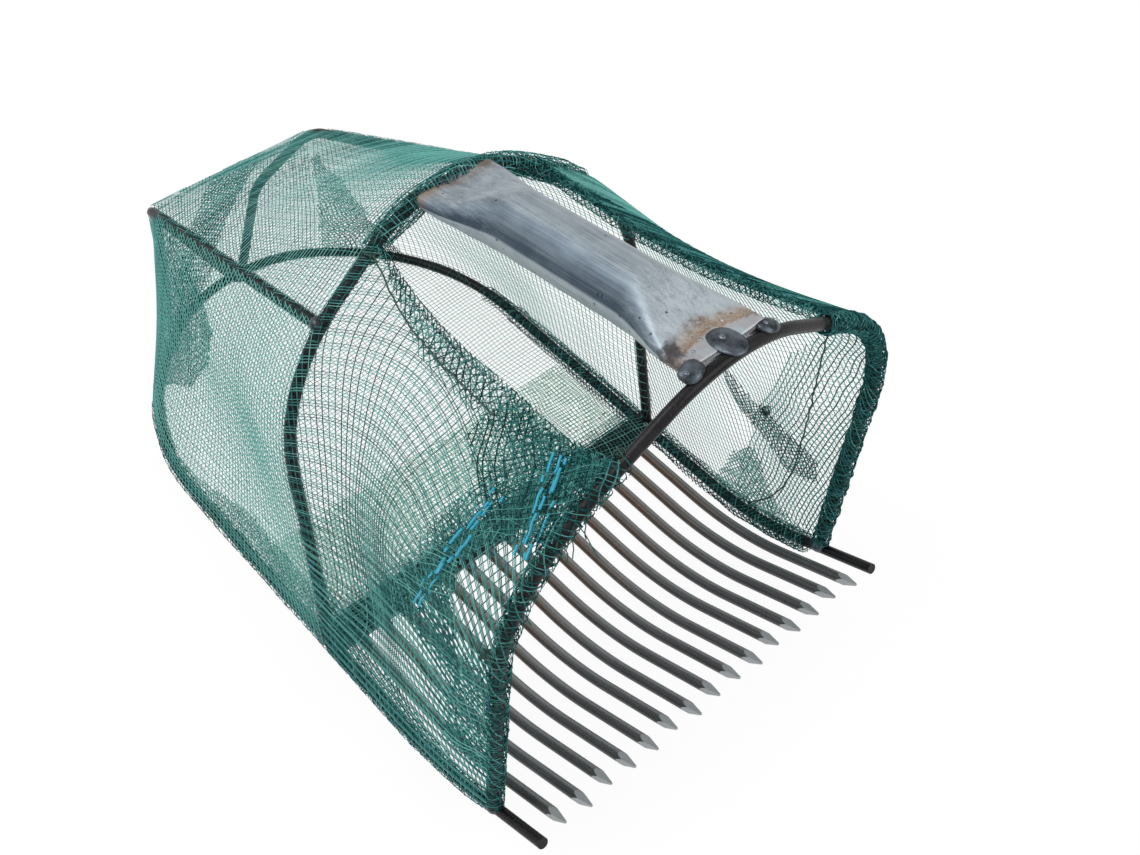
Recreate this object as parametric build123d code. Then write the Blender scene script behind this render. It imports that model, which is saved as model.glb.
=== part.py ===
from build123d import *
import math
import os

# Berry-picking comb: nail tines on a welded rod frame, a tube handle and a net catch bag.
# Millimetres and degrees. +X points forward along the tines, +Y to the user's left, +Z up.
# The origin is on the floor, below the middle of the comb's length and width.

# Tines: bent nails, side by side
tine_count = 15
tine_pitch = 10.0
tine_diameter = 4.0
tine_length = 120.0
tine_point_length = 8.0
tine_point_flat = 0.7
tine_rise = 27.0
tine_rise_angle = 26.5
tine_bend_radius = 105.0
tine_scatter = 1.6
tine_scatter_step = 2.4

# Rods of the frame
rod_diameter = 4.0
loop_reach = 296.0
loop_end_setback = 1.0
loop_flank_turn = 51.0
loop_flank_extra = 16.0
loop_tail_tuck = 16.0

# Arches, each with upright legs, round shoulders, straight slopes and a round crown
front_arch_setback = 24.0
front_arch_height = 164.0
front_arch_slope = 29.5
front_arch_shoulder_radius = 66.0
front_arch_crown_radius = 50.0
front_arch_leg_tilt = 0.0
front_arch_lean = 0.0
middle_arch_setback = 115.0
middle_arch_height = 160.0
middle_arch_slope = 36.0
middle_arch_shoulder_radius = 68.0
middle_arch_crown_radius = 58.0
middle_arch_leg_tilt = 2.5
middle_arch_lean = 10.5

# Stays from the middle arch to the tail of the loop
stay_shoulder_angle = 47.0
stay_corner_inset = 10.5
stay_corner_half_width = 38.5
stay_corner_height = 67.5
stay_corner_radius = 14.0
stay_knee_inset = 7.5
stay_knee_half_width = 11.5
stay_knee_height = 50.0
stay_knee_radius = 16.0
right_knee_inset = 8.0
right_knee_half_width = 20.4
right_knee_height = 33.8
stay_foot_gap = 0.8
stay_end_gap = 1.2

# Flat bar that carries the tines
bar_width = 12.0
bar_thickness = 2.5

# Handle tube, flattened at both ends
handle_diameter = 21.3
handle_wall = 1.8
handle_flat_width = 31.0
handle_flat_thickness = 5.0
handle_rear_flat = 3.0
handle_rear_taper = 32.0
handle_front_flat = 8.0
handle_front_taper = 26.0
handle_corner_relief = 0.4
handle_end_gap = 0.8

# Welds
foot_weld_radius = 3.3
stay_weld_radius = 3.4
tine_weld_radius = 2.6
corner_weld_radius = 4.2
disc_weld_radius = 6.2
disc_weld_height = 2.4
rear_weld_radius = 2.4
rear_weld_count = 4
weld_sink = 0.6
foot_weld_inset = 1.6
stay_weld_inset = 1.4
stay_foot_weld_inset = 2.4

# Net
net_thickness = 0.8
net_clearance = 0.4
net_edge_gap = 1.2
net_sag = 4.0
net_back_bulge = 3.0
sag_power = 2
bulge_power = 1
hem_radius = 1.8
hem_sag = 7.0
hem_middle_fraction = 0.84
hem_front_fraction = 0.79
binding_thickness = 0.8
binding_clearance = 0.15
bottom_mesh_pitch = 9.5
bottom_mesh_thread = 2.0
bottom_mesh_border = 2.5
binding_start = 8.0
panel_mesh_pitch = 13.0
panel_mesh_most = 9
panel_mesh_thread = 2.2
panel_mesh_border = 3.0
panel_mesh_reach = 4.0
panel_rows = 7
panel_tolerance = 0.1
halving_steps = 40

# Worked out from the driving dimensions
rod_radius = rod_diameter / 2
tine_radius = tine_diameter / 2
side_half = (tine_count + 1) / 2 * tine_pitch
net_offset = rod_radius + net_clearance + net_thickness / 2
net_out = net_offset + net_thickness / 2
tip_x = (loop_reach + net_out) / 2
floor_rod_z = rod_radius
rise_run = tine_rise / math.tan(math.radians(tine_rise_angle))
bend_x = tip_x - rise_run
bar_x = tip_x - middle_arch_setback
bar_bottom = floor_rod_z + max(rod_radius, tine_radius)
bar_top = bar_bottom + bar_thickness
front_arch_x = tip_x - front_arch_setback
tail_x = tip_x - loop_reach
parts = {}


def mirrored(point):
    return Vector(point.X, -point.Y, point.Z)


def rounded_path(corners, radii):
    # Straight runs through the corners, with a tangent arc of its own radius at each inner corner
    points = [Vector(corner) for corner in corners]
    edges = []
    start = points[0]
    for before, corner, after, radius in zip(points, points[1:], points[2:], radii):
        towards = (corner - before).normalized()
        away = (after - corner).normalized()
        half_turn = towards.get_angle(away) / 2
        reach = radius * math.tan(math.radians(half_turn))
        depth = radius / math.cos(math.radians(half_turn)) - radius
        arc_start = corner - towards * reach
        arc_middle = corner + (away - towards).normalized() * depth
        arc_end = corner + away * reach
        edges.append(Line(start, arc_start))
        edges.append(ThreePointArc(arc_start, arc_middle, arc_end))
        start = arc_end
    edges.append(Line(start, points[-1]))
    return Wire([line.edge() for line in edges])


def along(path, length):
    return path.position_at(length, position_mode=PositionMode.LENGTH)


def swept_rod(path, diameter):
    profile = Plane(origin=path @ 0, z_dir=path % 0) * Circle(diameter / 2)
    return sweep(profile, path=path)


def swept_sleeve(path, inner_radius, thickness):
    ring = Circle(inner_radius + thickness) - Circle(inner_radius)
    profile = Plane(origin=path @ 0, z_dir=path % 0) * ring
    return sweep(profile, path=path)


def ball(centre, radius, seam=(1, 0, 0), pole=(0, 0, 1)):
    # A round blob, whose seam and poles can be turned away from the cuts it gets
    return Plane(origin=centre, x_dir=seam, z_dir=pole) * Sphere(radius)


def welded(blob, *neighbours):
    # A weld blob with its neighbours cut out of it
    for neighbour in neighbours:
        blob = blob - neighbour
    return blob.solids()


def keep(name, *solids):
    parts[name] = Compound(label=name, children=list(solids)) if len(solids) > 1 else solids[0]


# Base loop: flat on the floor, its front ends turned up beside the tines

def loop_corners(offset):
    half = side_half + offset
    turn = math.radians(loop_flank_turn)
    flank_radius = half + loop_flank_extra
    tail_radius = half - loop_tail_tuck
    peak_x = tail_x - offset - tail_radius * (1 / math.sin(turn) - 1)
    flank_x = peak_x + half / math.tan(turn)
    end_x = tip_x - loop_end_setback
    end_z = floor_rod_z + tine_rise - loop_end_setback * math.tan(math.radians(tine_rise_angle))
    left = [(end_x, half, end_z), (bend_x, half, floor_rod_z), (flank_x, half, floor_rod_z)]
    right = [(x, -y, z) for x, y, z in reversed(left)]
    corners = left + [(peak_x, 0, floor_rod_z)] + right
    radii = [tine_bend_radius, flank_radius, tail_radius, flank_radius, tine_bend_radius]
    return corners, radii


def loop_path(offset):
    corners, radii = loop_corners(offset)
    return rounded_path(corners, radii)


loop_axis = loop_path(0)
base_loop = swept_rod(loop_axis, rod_diameter)
keep("base_loop", base_loop)


# Arches

def arch_corners(height, slope, crown_radius, leg_tilt, offset):
    half = side_half + offset
    slope_rate = math.tan(math.radians(slope))
    tilt_rate = math.tan(math.radians(leg_tilt))
    crown = crown_radius + offset
    peak = height + offset + crown * (1 / math.cos(math.radians(slope)) - 1)
    shoulder_height = (peak - half * slope_rate) / (1 - tilt_rate * slope_rate)
    shoulder_half = half - shoulder_height * tilt_rate
    return half, shoulder_half, shoulder_height, peak


def arch_path(foot, height, slope, shoulder_radius, crown_radius, leg_tilt, lean, offset):
    half, shoulder_half, shoulder_height, peak = arch_corners(height, slope, crown_radius, leg_tilt, offset)
    outline = [(half, 0), (shoulder_half, shoulder_height), (0, peak)]
    outline += [(-y, h) for y, h in reversed(outline[:2])]
    back = math.sin(math.radians(lean))
    up = math.cos(math.radians(lean))
    corners = [(foot.X - h * back, y, foot.Z + h * up) for y, h in outline]
    return rounded_path(corners, [shoulder_radius + offset, crown_radius + offset, shoulder_radius + offset])


front_foot = Vector(front_arch_x, 0, floor_rod_z + tine_rise - front_arch_setback / rise_run * tine_rise)
middle_foot = Vector(bar_x, 0, floor_rod_z)


def front_arch_path(offset):
    return arch_path(front_foot, front_arch_height, front_arch_slope, front_arch_shoulder_radius,
                     front_arch_crown_radius, front_arch_leg_tilt, front_arch_lean, offset)


def middle_arch_path(offset):
    return arch_path(middle_foot, middle_arch_height, middle_arch_slope, middle_arch_shoulder_radius,
                     middle_arch_crown_radius, middle_arch_leg_tilt, middle_arch_lean, offset)


front_axis = front_arch_path(0)
middle_axis = middle_arch_path(0)
front_arch = swept_rod(front_axis, rod_diameter) - base_loop
bar_length = 2 * (side_half + rod_radius)
cut_room = 4 * rod_diameter
on_bottom = (Align.CENTER, Align.CENTER, Align.MIN)
on_top = (Align.CENTER, Align.CENTER, Align.MAX)
tine_bar = Pos(bar_x, 0, bar_bottom) * Box(bar_width, bar_length, bar_thickness, align=on_bottom)
below_bar = Pos(bar_x, 0, bar_top) * Box(bar_width + cut_room, bar_length + cut_room, cut_room, align=on_top)
middle_arch = swept_rod(middle_axis, rod_diameter) - below_bar
keep("front_arch", front_arch)
keep("middle_arch", middle_arch)
keep("tine_bar", tine_bar)


# Stays: back from the shoulders, down at the rear corners and in to the tail of the loop

def arch_shoulder(angle, offset):
    half, shoulder_half, shoulder_height, peak = arch_corners(
        middle_arch_height, middle_arch_slope, middle_arch_crown_radius, middle_arch_leg_tilt, 0)
    leg_angle = math.radians(middle_arch_leg_tilt)
    slope_angle = math.radians(middle_arch_slope)
    half_turn = (math.pi / 2 - slope_angle - leg_angle) / 2
    centre_distance = middle_arch_shoulder_radius / math.cos(half_turn)
    inward = math.pi / 2 - slope_angle - half_turn
    centre_y = shoulder_half - centre_distance * math.cos(inward)
    centre_h = shoulder_height - centre_distance * math.sin(inward)
    reach = middle_arch_shoulder_radius + offset
    y = centre_y + reach * math.cos(math.radians(angle))
    h = centre_h + reach * math.sin(math.radians(angle))
    lean = math.radians(middle_arch_lean)
    return Vector(middle_foot.X - h * math.sin(lean), y, middle_foot.Z + h * math.cos(lean))


left_shoulder = arch_shoulder(stay_shoulder_angle, 0)
left_corner = Vector(tail_x + stay_corner_inset, stay_corner_half_width, floor_rod_z + stay_corner_height)
left_knee = Vector(tail_x + stay_knee_inset, stay_knee_half_width, floor_rod_z + stay_knee_height)
right_knee = Vector(tail_x + right_knee_inset, right_knee_half_width, floor_rod_z + right_knee_height)
left_stay_foot = Vector(tail_x, rod_radius + stay_foot_gap / 2, floor_rod_z)


def stay(side, knee):
    # Corners are given for the left side; the right stay is turned over, and its own knee is nearly straight
    start = left_shoulder + (left_corner - left_shoulder).normalized() * stay_end_gap
    corners = [start, left_corner, knee, left_stay_foot]
    if side < 0:
        corners = [mirrored(corner) for corner in corners]
    path = rounded_path(corners, [stay_corner_radius, stay_knee_radius])
    return swept_rod(path, rod_diameter) - middle_arch - base_loop


left_stay = stay(1, left_knee)
right_stay = stay(-1, right_knee)
keep("left_stay", left_stay)
keep("right_stay", right_stay)


# Tines

def make_tine():
    bend_reach = tine_bend_radius * math.tan(math.radians(tine_rise_angle / 2))
    rise_length = rise_run / math.cos(math.radians(tine_rise_angle))
    bent_length = math.radians(tine_rise_angle) * tine_bend_radius + rise_length - bend_reach
    rear_x = bend_x - bend_reach - (tine_length - bent_length)
    tip = Vector(tip_x, 0, floor_rod_z + tine_rise)
    bend = Vector(bend_x, 0, floor_rod_z)
    direction = (tip - bend).normalized()
    neck = tip - direction * tine_point_length
    shank = swept_rod(rounded_path([(rear_x, 0, floor_rod_z), bend, neck], [tine_bend_radius]), tine_diameter)
    point_plane = Plane(origin=neck, x_dir=(0, 1, 0), z_dir=direction)
    taper = math.degrees(math.atan((tine_diameter - tine_point_flat) / 2 / tine_point_length))
    wedge_base = point_plane * Rectangle(tine_diameter, tine_diameter)
    wedge = extrude(wedge_base, amount=tine_point_length, taper=taper)
    point = wedge & extrude(point_plane * Circle(tine_radius), amount=tine_point_length)
    return shank + point


tine = make_tine()
tine_ends = []
for number in range(1, tine_count + 1):
    setback = tine_scatter * (1 + math.sin(tine_scatter_step * number)) / 2
    place = Pos(-setback, (number - (tine_count + 1) / 2) * tine_pitch, 0)
    keep(f"tine_{number:02d}", place * tine)
    tine_ends.append(place * tine)


# Handle tube: round in the middle, flattened where it meets the arches

front_top = along(front_axis, front_axis.length / 2)
middle_top = along(middle_axis, middle_axis.length / 2)
handle_line = (front_top - middle_top).normalized()
handle_start = middle_top + handle_line * (rod_radius + handle_end_gap)
handle_length = (front_top - middle_top).length - 2 * (rod_radius + handle_end_gap)


def handle_section(distance, width, thickness):
    corner = thickness / 2 - handle_corner_relief
    plane = Plane(origin=handle_start + handle_line * distance, x_dir=(0, 1, 0), z_dir=handle_line)
    return plane * RectangleRounded(width, thickness, corner)


def handle_taper(flat_end, taper_end, shrink):
    flat = (handle_flat_width - shrink, handle_flat_thickness - shrink)
    sections = [handle_section(distance, *flat) for distance in flat_end]
    plane = Plane(origin=handle_start + handle_line * taper_end, x_dir=(0, 1, 0), z_dir=handle_line)
    corner = (handle_diameter - shrink) / 2 - handle_corner_relief
    return sections, plane * RectangleRounded(handle_diameter - shrink, handle_diameter - shrink, corner)


def handle_body(shrink):
    rear_flats, rear_round = handle_taper([0, handle_rear_flat], handle_rear_flat + handle_rear_taper, shrink)
    front_ends = [handle_length, handle_length - handle_front_flat]
    front_start = handle_length - handle_front_flat - handle_front_taper
    front_flats, front_round = handle_taper(front_ends, front_start, shrink)
    rear = loft([rear_flats[0], rear_flats[1]], ruled=True) + loft([rear_flats[1], rear_round])
    front = loft([front_round, front_flats[1]]) + loft([front_flats[1], front_flats[0]], ruled=True)
    grip_start = handle_rear_flat + handle_rear_taper
    plane = Plane(origin=handle_start + handle_line * grip_start, x_dir=(0, 1, 0), z_dir=handle_line)
    grip = extrude(plane * Circle((handle_diameter - shrink) / 2), amount=front_start - grip_start)
    return rear + grip + front


handle_outside = handle_body(0)
handle_tube = handle_outside - handle_body(2 * handle_wall)
keep("handle_tube", handle_tube)


# Welds

def foot_welds():
    blobs = []
    for side in (1, -1):
        centre = Vector(front_arch_x, side * side_half, front_foot.Z + rod_radius)
        blobs += welded(ball(centre, foot_weld_radius), base_loop, front_arch)
    return blobs


def bar_welds():
    blobs = []
    for side in (1, -1):
        centre = Vector(bar_x, side * (side_half - foot_weld_inset), bar_top)
        blobs += welded(ball(centre, foot_weld_radius), below_bar, middle_arch)
    return blobs


def stay_top_welds():
    blobs = []
    seat = arch_shoulder(stay_shoulder_angle, -stay_weld_inset) - Vector(rod_radius / 2, 0, 0)
    for centre, rod in ((seat, left_stay), (mirrored(seat), right_stay)):
        blobs += welded(ball(centre, stay_weld_radius), rod, middle_arch)
    return blobs


def stay_foot_weld():
    tail = Vector(tail_x, 0, floor_rod_z + rod_radius)
    centre = tail + Vector(stay_foot_weld_inset, 0, stay_foot_weld_inset)
    return welded(ball(centre, stay_weld_radius), base_loop, left_stay, right_stay)


def tine_welds():
    bar_front = bar_x + bar_width / 2
    behind_front = Pos(bar_front, 0, bar_bottom) * Box(
        bar_width, bar_length, cut_room, align=(Align.MAX, Align.CENTER, Align.CENTER))
    blobs = []
    for end in tine_ends:
        middle = end.bounding_box().center()
        centre = Vector(bar_front + weld_sink, middle.Y, bar_bottom)
        blobs += welded(ball(centre, tine_weld_radius), behind_front, end)
    return blobs


def handle_front_welds():
    joint = handle_start + handle_line * handle_length
    blobs = []
    for side in (1, -1):
        centre = joint + Vector(0, side * (handle_flat_width / 2 - corner_weld_radius / 2), -weld_sink)
        blobs += welded(ball(centre, corner_weld_radius), front_arch, handle_outside)
    disc_plane = Plane(origin=joint + Vector(0, 0, rod_radius - weld_sink), x_dir=(0, 1, 0), z_dir=(0, 0, 1))
    disc = extrude(disc_plane * Circle(disc_weld_radius), amount=disc_weld_height)
    disc = fillet(disc.faces().sort_by(Axis.Z)[-1].edges(), disc_weld_height / 2)
    return blobs + welded(disc, front_arch, handle_outside)


def handle_rear_welds():
    spacing = handle_flat_width / rear_weld_count
    joint = handle_start - handle_line * handle_end_gap / 2
    blobs = []
    for number in range(rear_weld_count):
        across = (number - (rear_weld_count - 1) / 2) * spacing
        centre = joint + Vector(0, across, handle_flat_thickness / 2 - weld_sink)
        blob = ball(centre, rear_weld_radius, seam=(0, 0, 1), pole=(0, 1, 0))
        blobs += welded(blob, middle_arch, handle_outside)
    return blobs


keep("front_arch_welds", *foot_welds())
keep("bar_welds", *bar_welds())
keep("stay_top_welds", *stay_top_welds())
keep("stay_foot_weld", *stay_foot_weld())
keep("tine_welds", *tine_welds())
keep("handle_front_welds", *handle_front_welds())
keep("handle_rear_welds", *handle_rear_welds())


# Net: thin panels just outside the rods, each patched between its four edges

net_loop = loop_path(net_offset)
net_front = front_arch_path(net_offset)
net_middle = middle_arch_path(net_offset)


def length_where(path, reading, target):
    # Length along the left half of a path at which a steadily changing coordinate reaches a target
    low = 0
    high = path.length / 2
    falling = reading(along(path, low)) > reading(along(path, high))
    for step in range(halving_steps):
        middle = (low + high) / 2
        if (reading(along(path, middle)) > target) == falling:
            low = middle
        else:
            high = middle
    return (low + high) / 2


def stretch(path, start, end):
    # A stretch of a path as a function of a fraction from 0 to 1
    return lambda fraction: along(path, start + (end - start) * fraction)


def straight(start, end):
    return lambda fraction: start + (end - start) * fraction


def patch(first, last, low, high, sag, power):
    # Coons patch: first and last edges run up, low and high edges run across, and the middle sags
    # by the given vector, shaped by a power of a half wave each way
    def point(across, up):
        between_sides = first(up) * (1 - across) + last(up) * across
        between_ends = low(across) * (1 - up) + high(across) * up
        first_chord = first(0) * (1 - up) + first(1) * up
        last_chord = last(0) * (1 - up) + last(1) * up
        corners = first_chord * (1 - across) + last_chord * across
        dip = math.sin(math.pi * across) * math.sin(math.pi * up)
        return between_sides + between_ends - corners + sag * dip ** power
    return point


def panel_gap(point, across, up, half_across, half_up):
    # A straight cutter through a panel, over one cell of its net
    steps = [(-1, -1), (1, -1), (1, 1), (-1, 1)]
    corners = [point(across + a * half_across, up + b * half_up) for a, b in steps]
    middle = point(across, up)
    through = (corners[2] - corners[0]).cross(corners[3] - corners[1]).normalized()
    level = [corner - through * (corner - middle).dot(through) for corner in corners]
    return extrude(Face(Wire.make_polygon(level)), amount=panel_mesh_reach, dir=through, both=True)


def panel_gaps(point, width, height, across_margins, up_margins):
    # Gaps in rows and columns, which leave threads between them and a border all round
    first = across_margins[0] + panel_mesh_border
    lowest = up_margins[0] + panel_mesh_border
    clear_width = width - first - across_margins[1] - panel_mesh_border
    clear_height = height - lowest - up_margins[1] - panel_mesh_border
    columns = min(panel_mesh_most, round(clear_width / panel_mesh_pitch))
    rows = min(panel_mesh_most, round(clear_height / panel_mesh_pitch))
    gap_width = (clear_width + panel_mesh_thread) / columns - panel_mesh_thread
    gap_height = (clear_height + panel_mesh_thread) / rows - panel_mesh_thread
    halves = (gap_width / 2 / width, gap_height / 2 / height)
    gaps = []
    for column in range(columns):
        across = first + gap_width / 2 + column * (gap_width + panel_mesh_thread)
        for row in range(rows):
            up = lowest + gap_height / 2 + row * (gap_height + panel_mesh_thread)
            gaps.append(panel_gap(point, across / width, up / height, *halves))
    return gaps


def net_panel(point, across_margins, up_margins):
    # A panel's sheet, short of its edges by the given lengths, with the gaps of its net
    width = (point(1, 0.5) - point(0, 0.5)).length
    height = (point(0.5, 1) - point(0.5, 0)).length
    rows = []
    for row in range(panel_rows):
        up = (up_margins[0] + (height - sum(up_margins)) * row / (panel_rows - 1)) / height
        line = []
        for column in range(panel_rows):
            across = (across_margins[0] + (width - sum(across_margins)) * column / (panel_rows - 1)) / width
            line.append(point(across, up))
        rows.append(line)
    sheet = Face.make_surface_from_array_of_points(rows, tol=panel_tolerance, min_deg=3)
    solid = thicken(sheet, amount=net_thickness / 2, both=True)
    return solid - panel_gaps(point, width, height, across_margins, up_margins)


net_shoulder = arch_shoulder(stay_shoulder_angle, net_offset)
net_corner = left_corner + Vector(-net_offset, net_offset, net_offset)
loop_at_front = length_where(net_loop, lambda place: place.X, front_arch_x)
loop_at_bar = length_where(net_loop, lambda place: place.X, bar_x)
loop_at_corner = length_where(net_loop, lambda place: place.X, net_corner.X)
arch_at_shoulder = length_where(net_middle, lambda place: place.Z, net_shoulder.Z)
hem_rear = net_middle.length / 2 * hem_middle_fraction
hem_front = net_front.length / 2 * hem_front_fraction
inwards = Vector(0, -net_sag, 0)
downwards = Vector(0, 0, -net_sag)
edge_margins = (net_edge_gap, net_edge_gap)


def hem_line(fraction):
    ends = straight(along(net_middle, hem_rear), along(net_front, hem_front))
    return ends(fraction) - Vector(0, 0, hem_sag) * math.sin(math.pi * fraction)


binding_radius = rod_radius + binding_clearance + binding_thickness
front_margin = max(binding_radius, foot_weld_radius) + net_clearance
front_sheet = patch(
    stretch(net_middle, 0, hem_rear), stretch(net_front, 0, hem_front),
    stretch(net_loop, loop_at_bar, loop_at_front), hem_line, inwards, sag_power)
rear_sheet = patch(
    stretch(net_middle, 0, arch_at_shoulder), straight(along(net_loop, loop_at_corner), net_corner),
    stretch(net_loop, loop_at_bar, loop_at_corner), straight(net_shoulder, net_corner), inwards, sag_power)
top_sheet = patch(
    straight(net_shoulder, net_corner), straight(mirrored(net_shoulder), mirrored(net_corner)),
    stretch(net_middle, arch_at_shoulder, net_middle.length - arch_at_shoulder),
    straight(net_corner, mirrored(net_corner)), downwards, sag_power)
back_sheet = patch(
    straight(along(net_loop, loop_at_corner), net_corner),
    straight(mirrored(along(net_loop, loop_at_corner)), mirrored(net_corner)),
    stretch(net_loop, loop_at_corner, net_loop.length - loop_at_corner),
    straight(net_corner, mirrored(net_corner)), Vector(-net_back_bulge, 0, 0), bulge_power)

hem_margin = hem_radius + net_clearance
net_left_front = net_panel(front_sheet, (net_edge_gap, front_margin), (0, hem_margin))
net_left_rear = net_panel(rear_sheet, edge_margins, (0, net_edge_gap))
keep("net_left_front", net_left_front)
keep("net_right_front", mirror(net_left_front, about=Plane.XZ))
keep("net_left_rear", net_left_rear)
keep("net_right_rear", mirror(net_left_rear, about=Plane.XZ))
keep("net_top", net_panel(top_sheet, edge_margins, edge_margins))
keep("net_back", net_panel(back_sheet, edge_margins, (0, net_edge_gap)))


# Rolled hems along the free top edges of the front panels

def make_hem():
    span = (hem_line(1) - hem_line(0)).length
    ends = ((rod_radius + hem_radius) / span, 0.5, 1 - front_margin / span)
    return swept_rod(Wire([ThreePointArc(*[hem_line(end) for end in ends]).edge()]), 2 * hem_radius)


left_hem = make_hem()
keep("left_hem", left_hem)
keep("right_hem", mirror(left_hem, about=Plane.XZ))


# Bindings: the front edges of the side panels, rolled round the legs of the front arch

def make_binding():
    start = binding_start / front_axis.length
    end = hem_front_fraction / 2
    return swept_sleeve(front_axis.trim(start, end), rod_radius + binding_clearance, binding_thickness)


left_binding = make_binding()
keep("left_binding", left_binding)
keep("right_binding", mirror(left_binding, about=Plane.XZ))


# Bottom of the bag: a flat net inside the loop, behind the bar

def bottom_outline(inset):
    corners, radii = loop_corners(-inset)
    front_x = bar_x - bar_width / 2 - inset
    flat = [Vector(corner) for corner in corners[2:5]]
    ends = [Vector(front_x, flat[0].Y, floor_rod_z), Vector(front_x, flat[-1].Y, floor_rod_z)]
    path = rounded_path([ends[0]] + flat + [ends[1]], radii[1:4])
    return Face(Wire(path.edges() + [Line(ends[1], ends[0]).edge()]))


def bottom_gaps(inner):
    # Square gaps in rows and columns, as many as lie wholly inside the border
    side = bottom_mesh_pitch - bottom_mesh_thread
    box = inner.bounding_box()
    columns = int(box.size.X / bottom_mesh_pitch)
    rows = int(box.size.Y / bottom_mesh_pitch)
    gaps = []
    for column in range(columns):
        for row in range(rows):
            x = box.max.X - side / 2 - column * bottom_mesh_pitch
            y = (row - (rows - 1) / 2) * bottom_mesh_pitch
            ends = [Vector(x + a * side / 2, y + b * side / 2, floor_rod_z) for a in (-1, 1) for b in (-1, 1)]
            if all(inner.is_inside(end) for end in ends):
                gaps.append(Pos(x, y, floor_rod_z) * Rectangle(side, side))
    return gaps


bottom_sheet = bottom_outline(rod_radius + net_clearance)
net_gaps = bottom_gaps(bottom_outline(rod_radius + net_clearance + bottom_mesh_border))
keep("net_bottom", extrude(bottom_sheet - net_gaps, amount=net_thickness / 2, both=True))
print("gaps in the bottom net:", len(net_gaps))

for name, node in parts.items():
    print(name, len(node.solids()), round(node.volume, 1), node.is_valid)

os.makedirs("parts", exist_ok=True)
for name, node in parts.items():
    export_step(node, f"parts/{name}.step")
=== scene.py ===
import bpy
import bmesh
import math
import numpy as np
from mathutils import Matrix, Vector, noise


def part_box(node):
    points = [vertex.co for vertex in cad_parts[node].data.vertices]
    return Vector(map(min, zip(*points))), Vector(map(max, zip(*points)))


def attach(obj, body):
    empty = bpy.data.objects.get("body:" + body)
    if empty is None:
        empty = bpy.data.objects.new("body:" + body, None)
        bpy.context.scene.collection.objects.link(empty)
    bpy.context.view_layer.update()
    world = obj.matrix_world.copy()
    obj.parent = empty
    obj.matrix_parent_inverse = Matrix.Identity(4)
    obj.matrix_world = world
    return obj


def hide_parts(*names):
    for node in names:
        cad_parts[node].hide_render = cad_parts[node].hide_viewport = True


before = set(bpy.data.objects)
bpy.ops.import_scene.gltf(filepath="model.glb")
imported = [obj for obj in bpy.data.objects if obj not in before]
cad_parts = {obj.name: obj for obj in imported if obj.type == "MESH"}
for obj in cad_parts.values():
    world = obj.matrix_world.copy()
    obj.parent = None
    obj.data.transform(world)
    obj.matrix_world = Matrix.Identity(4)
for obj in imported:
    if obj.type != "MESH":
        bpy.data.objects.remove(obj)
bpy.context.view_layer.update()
noise.seed_set(7)
mm = 0.001
print("frame loaded:", len(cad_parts), "nodes")


# node trees: a node given as a value stands for its first output in use

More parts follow.
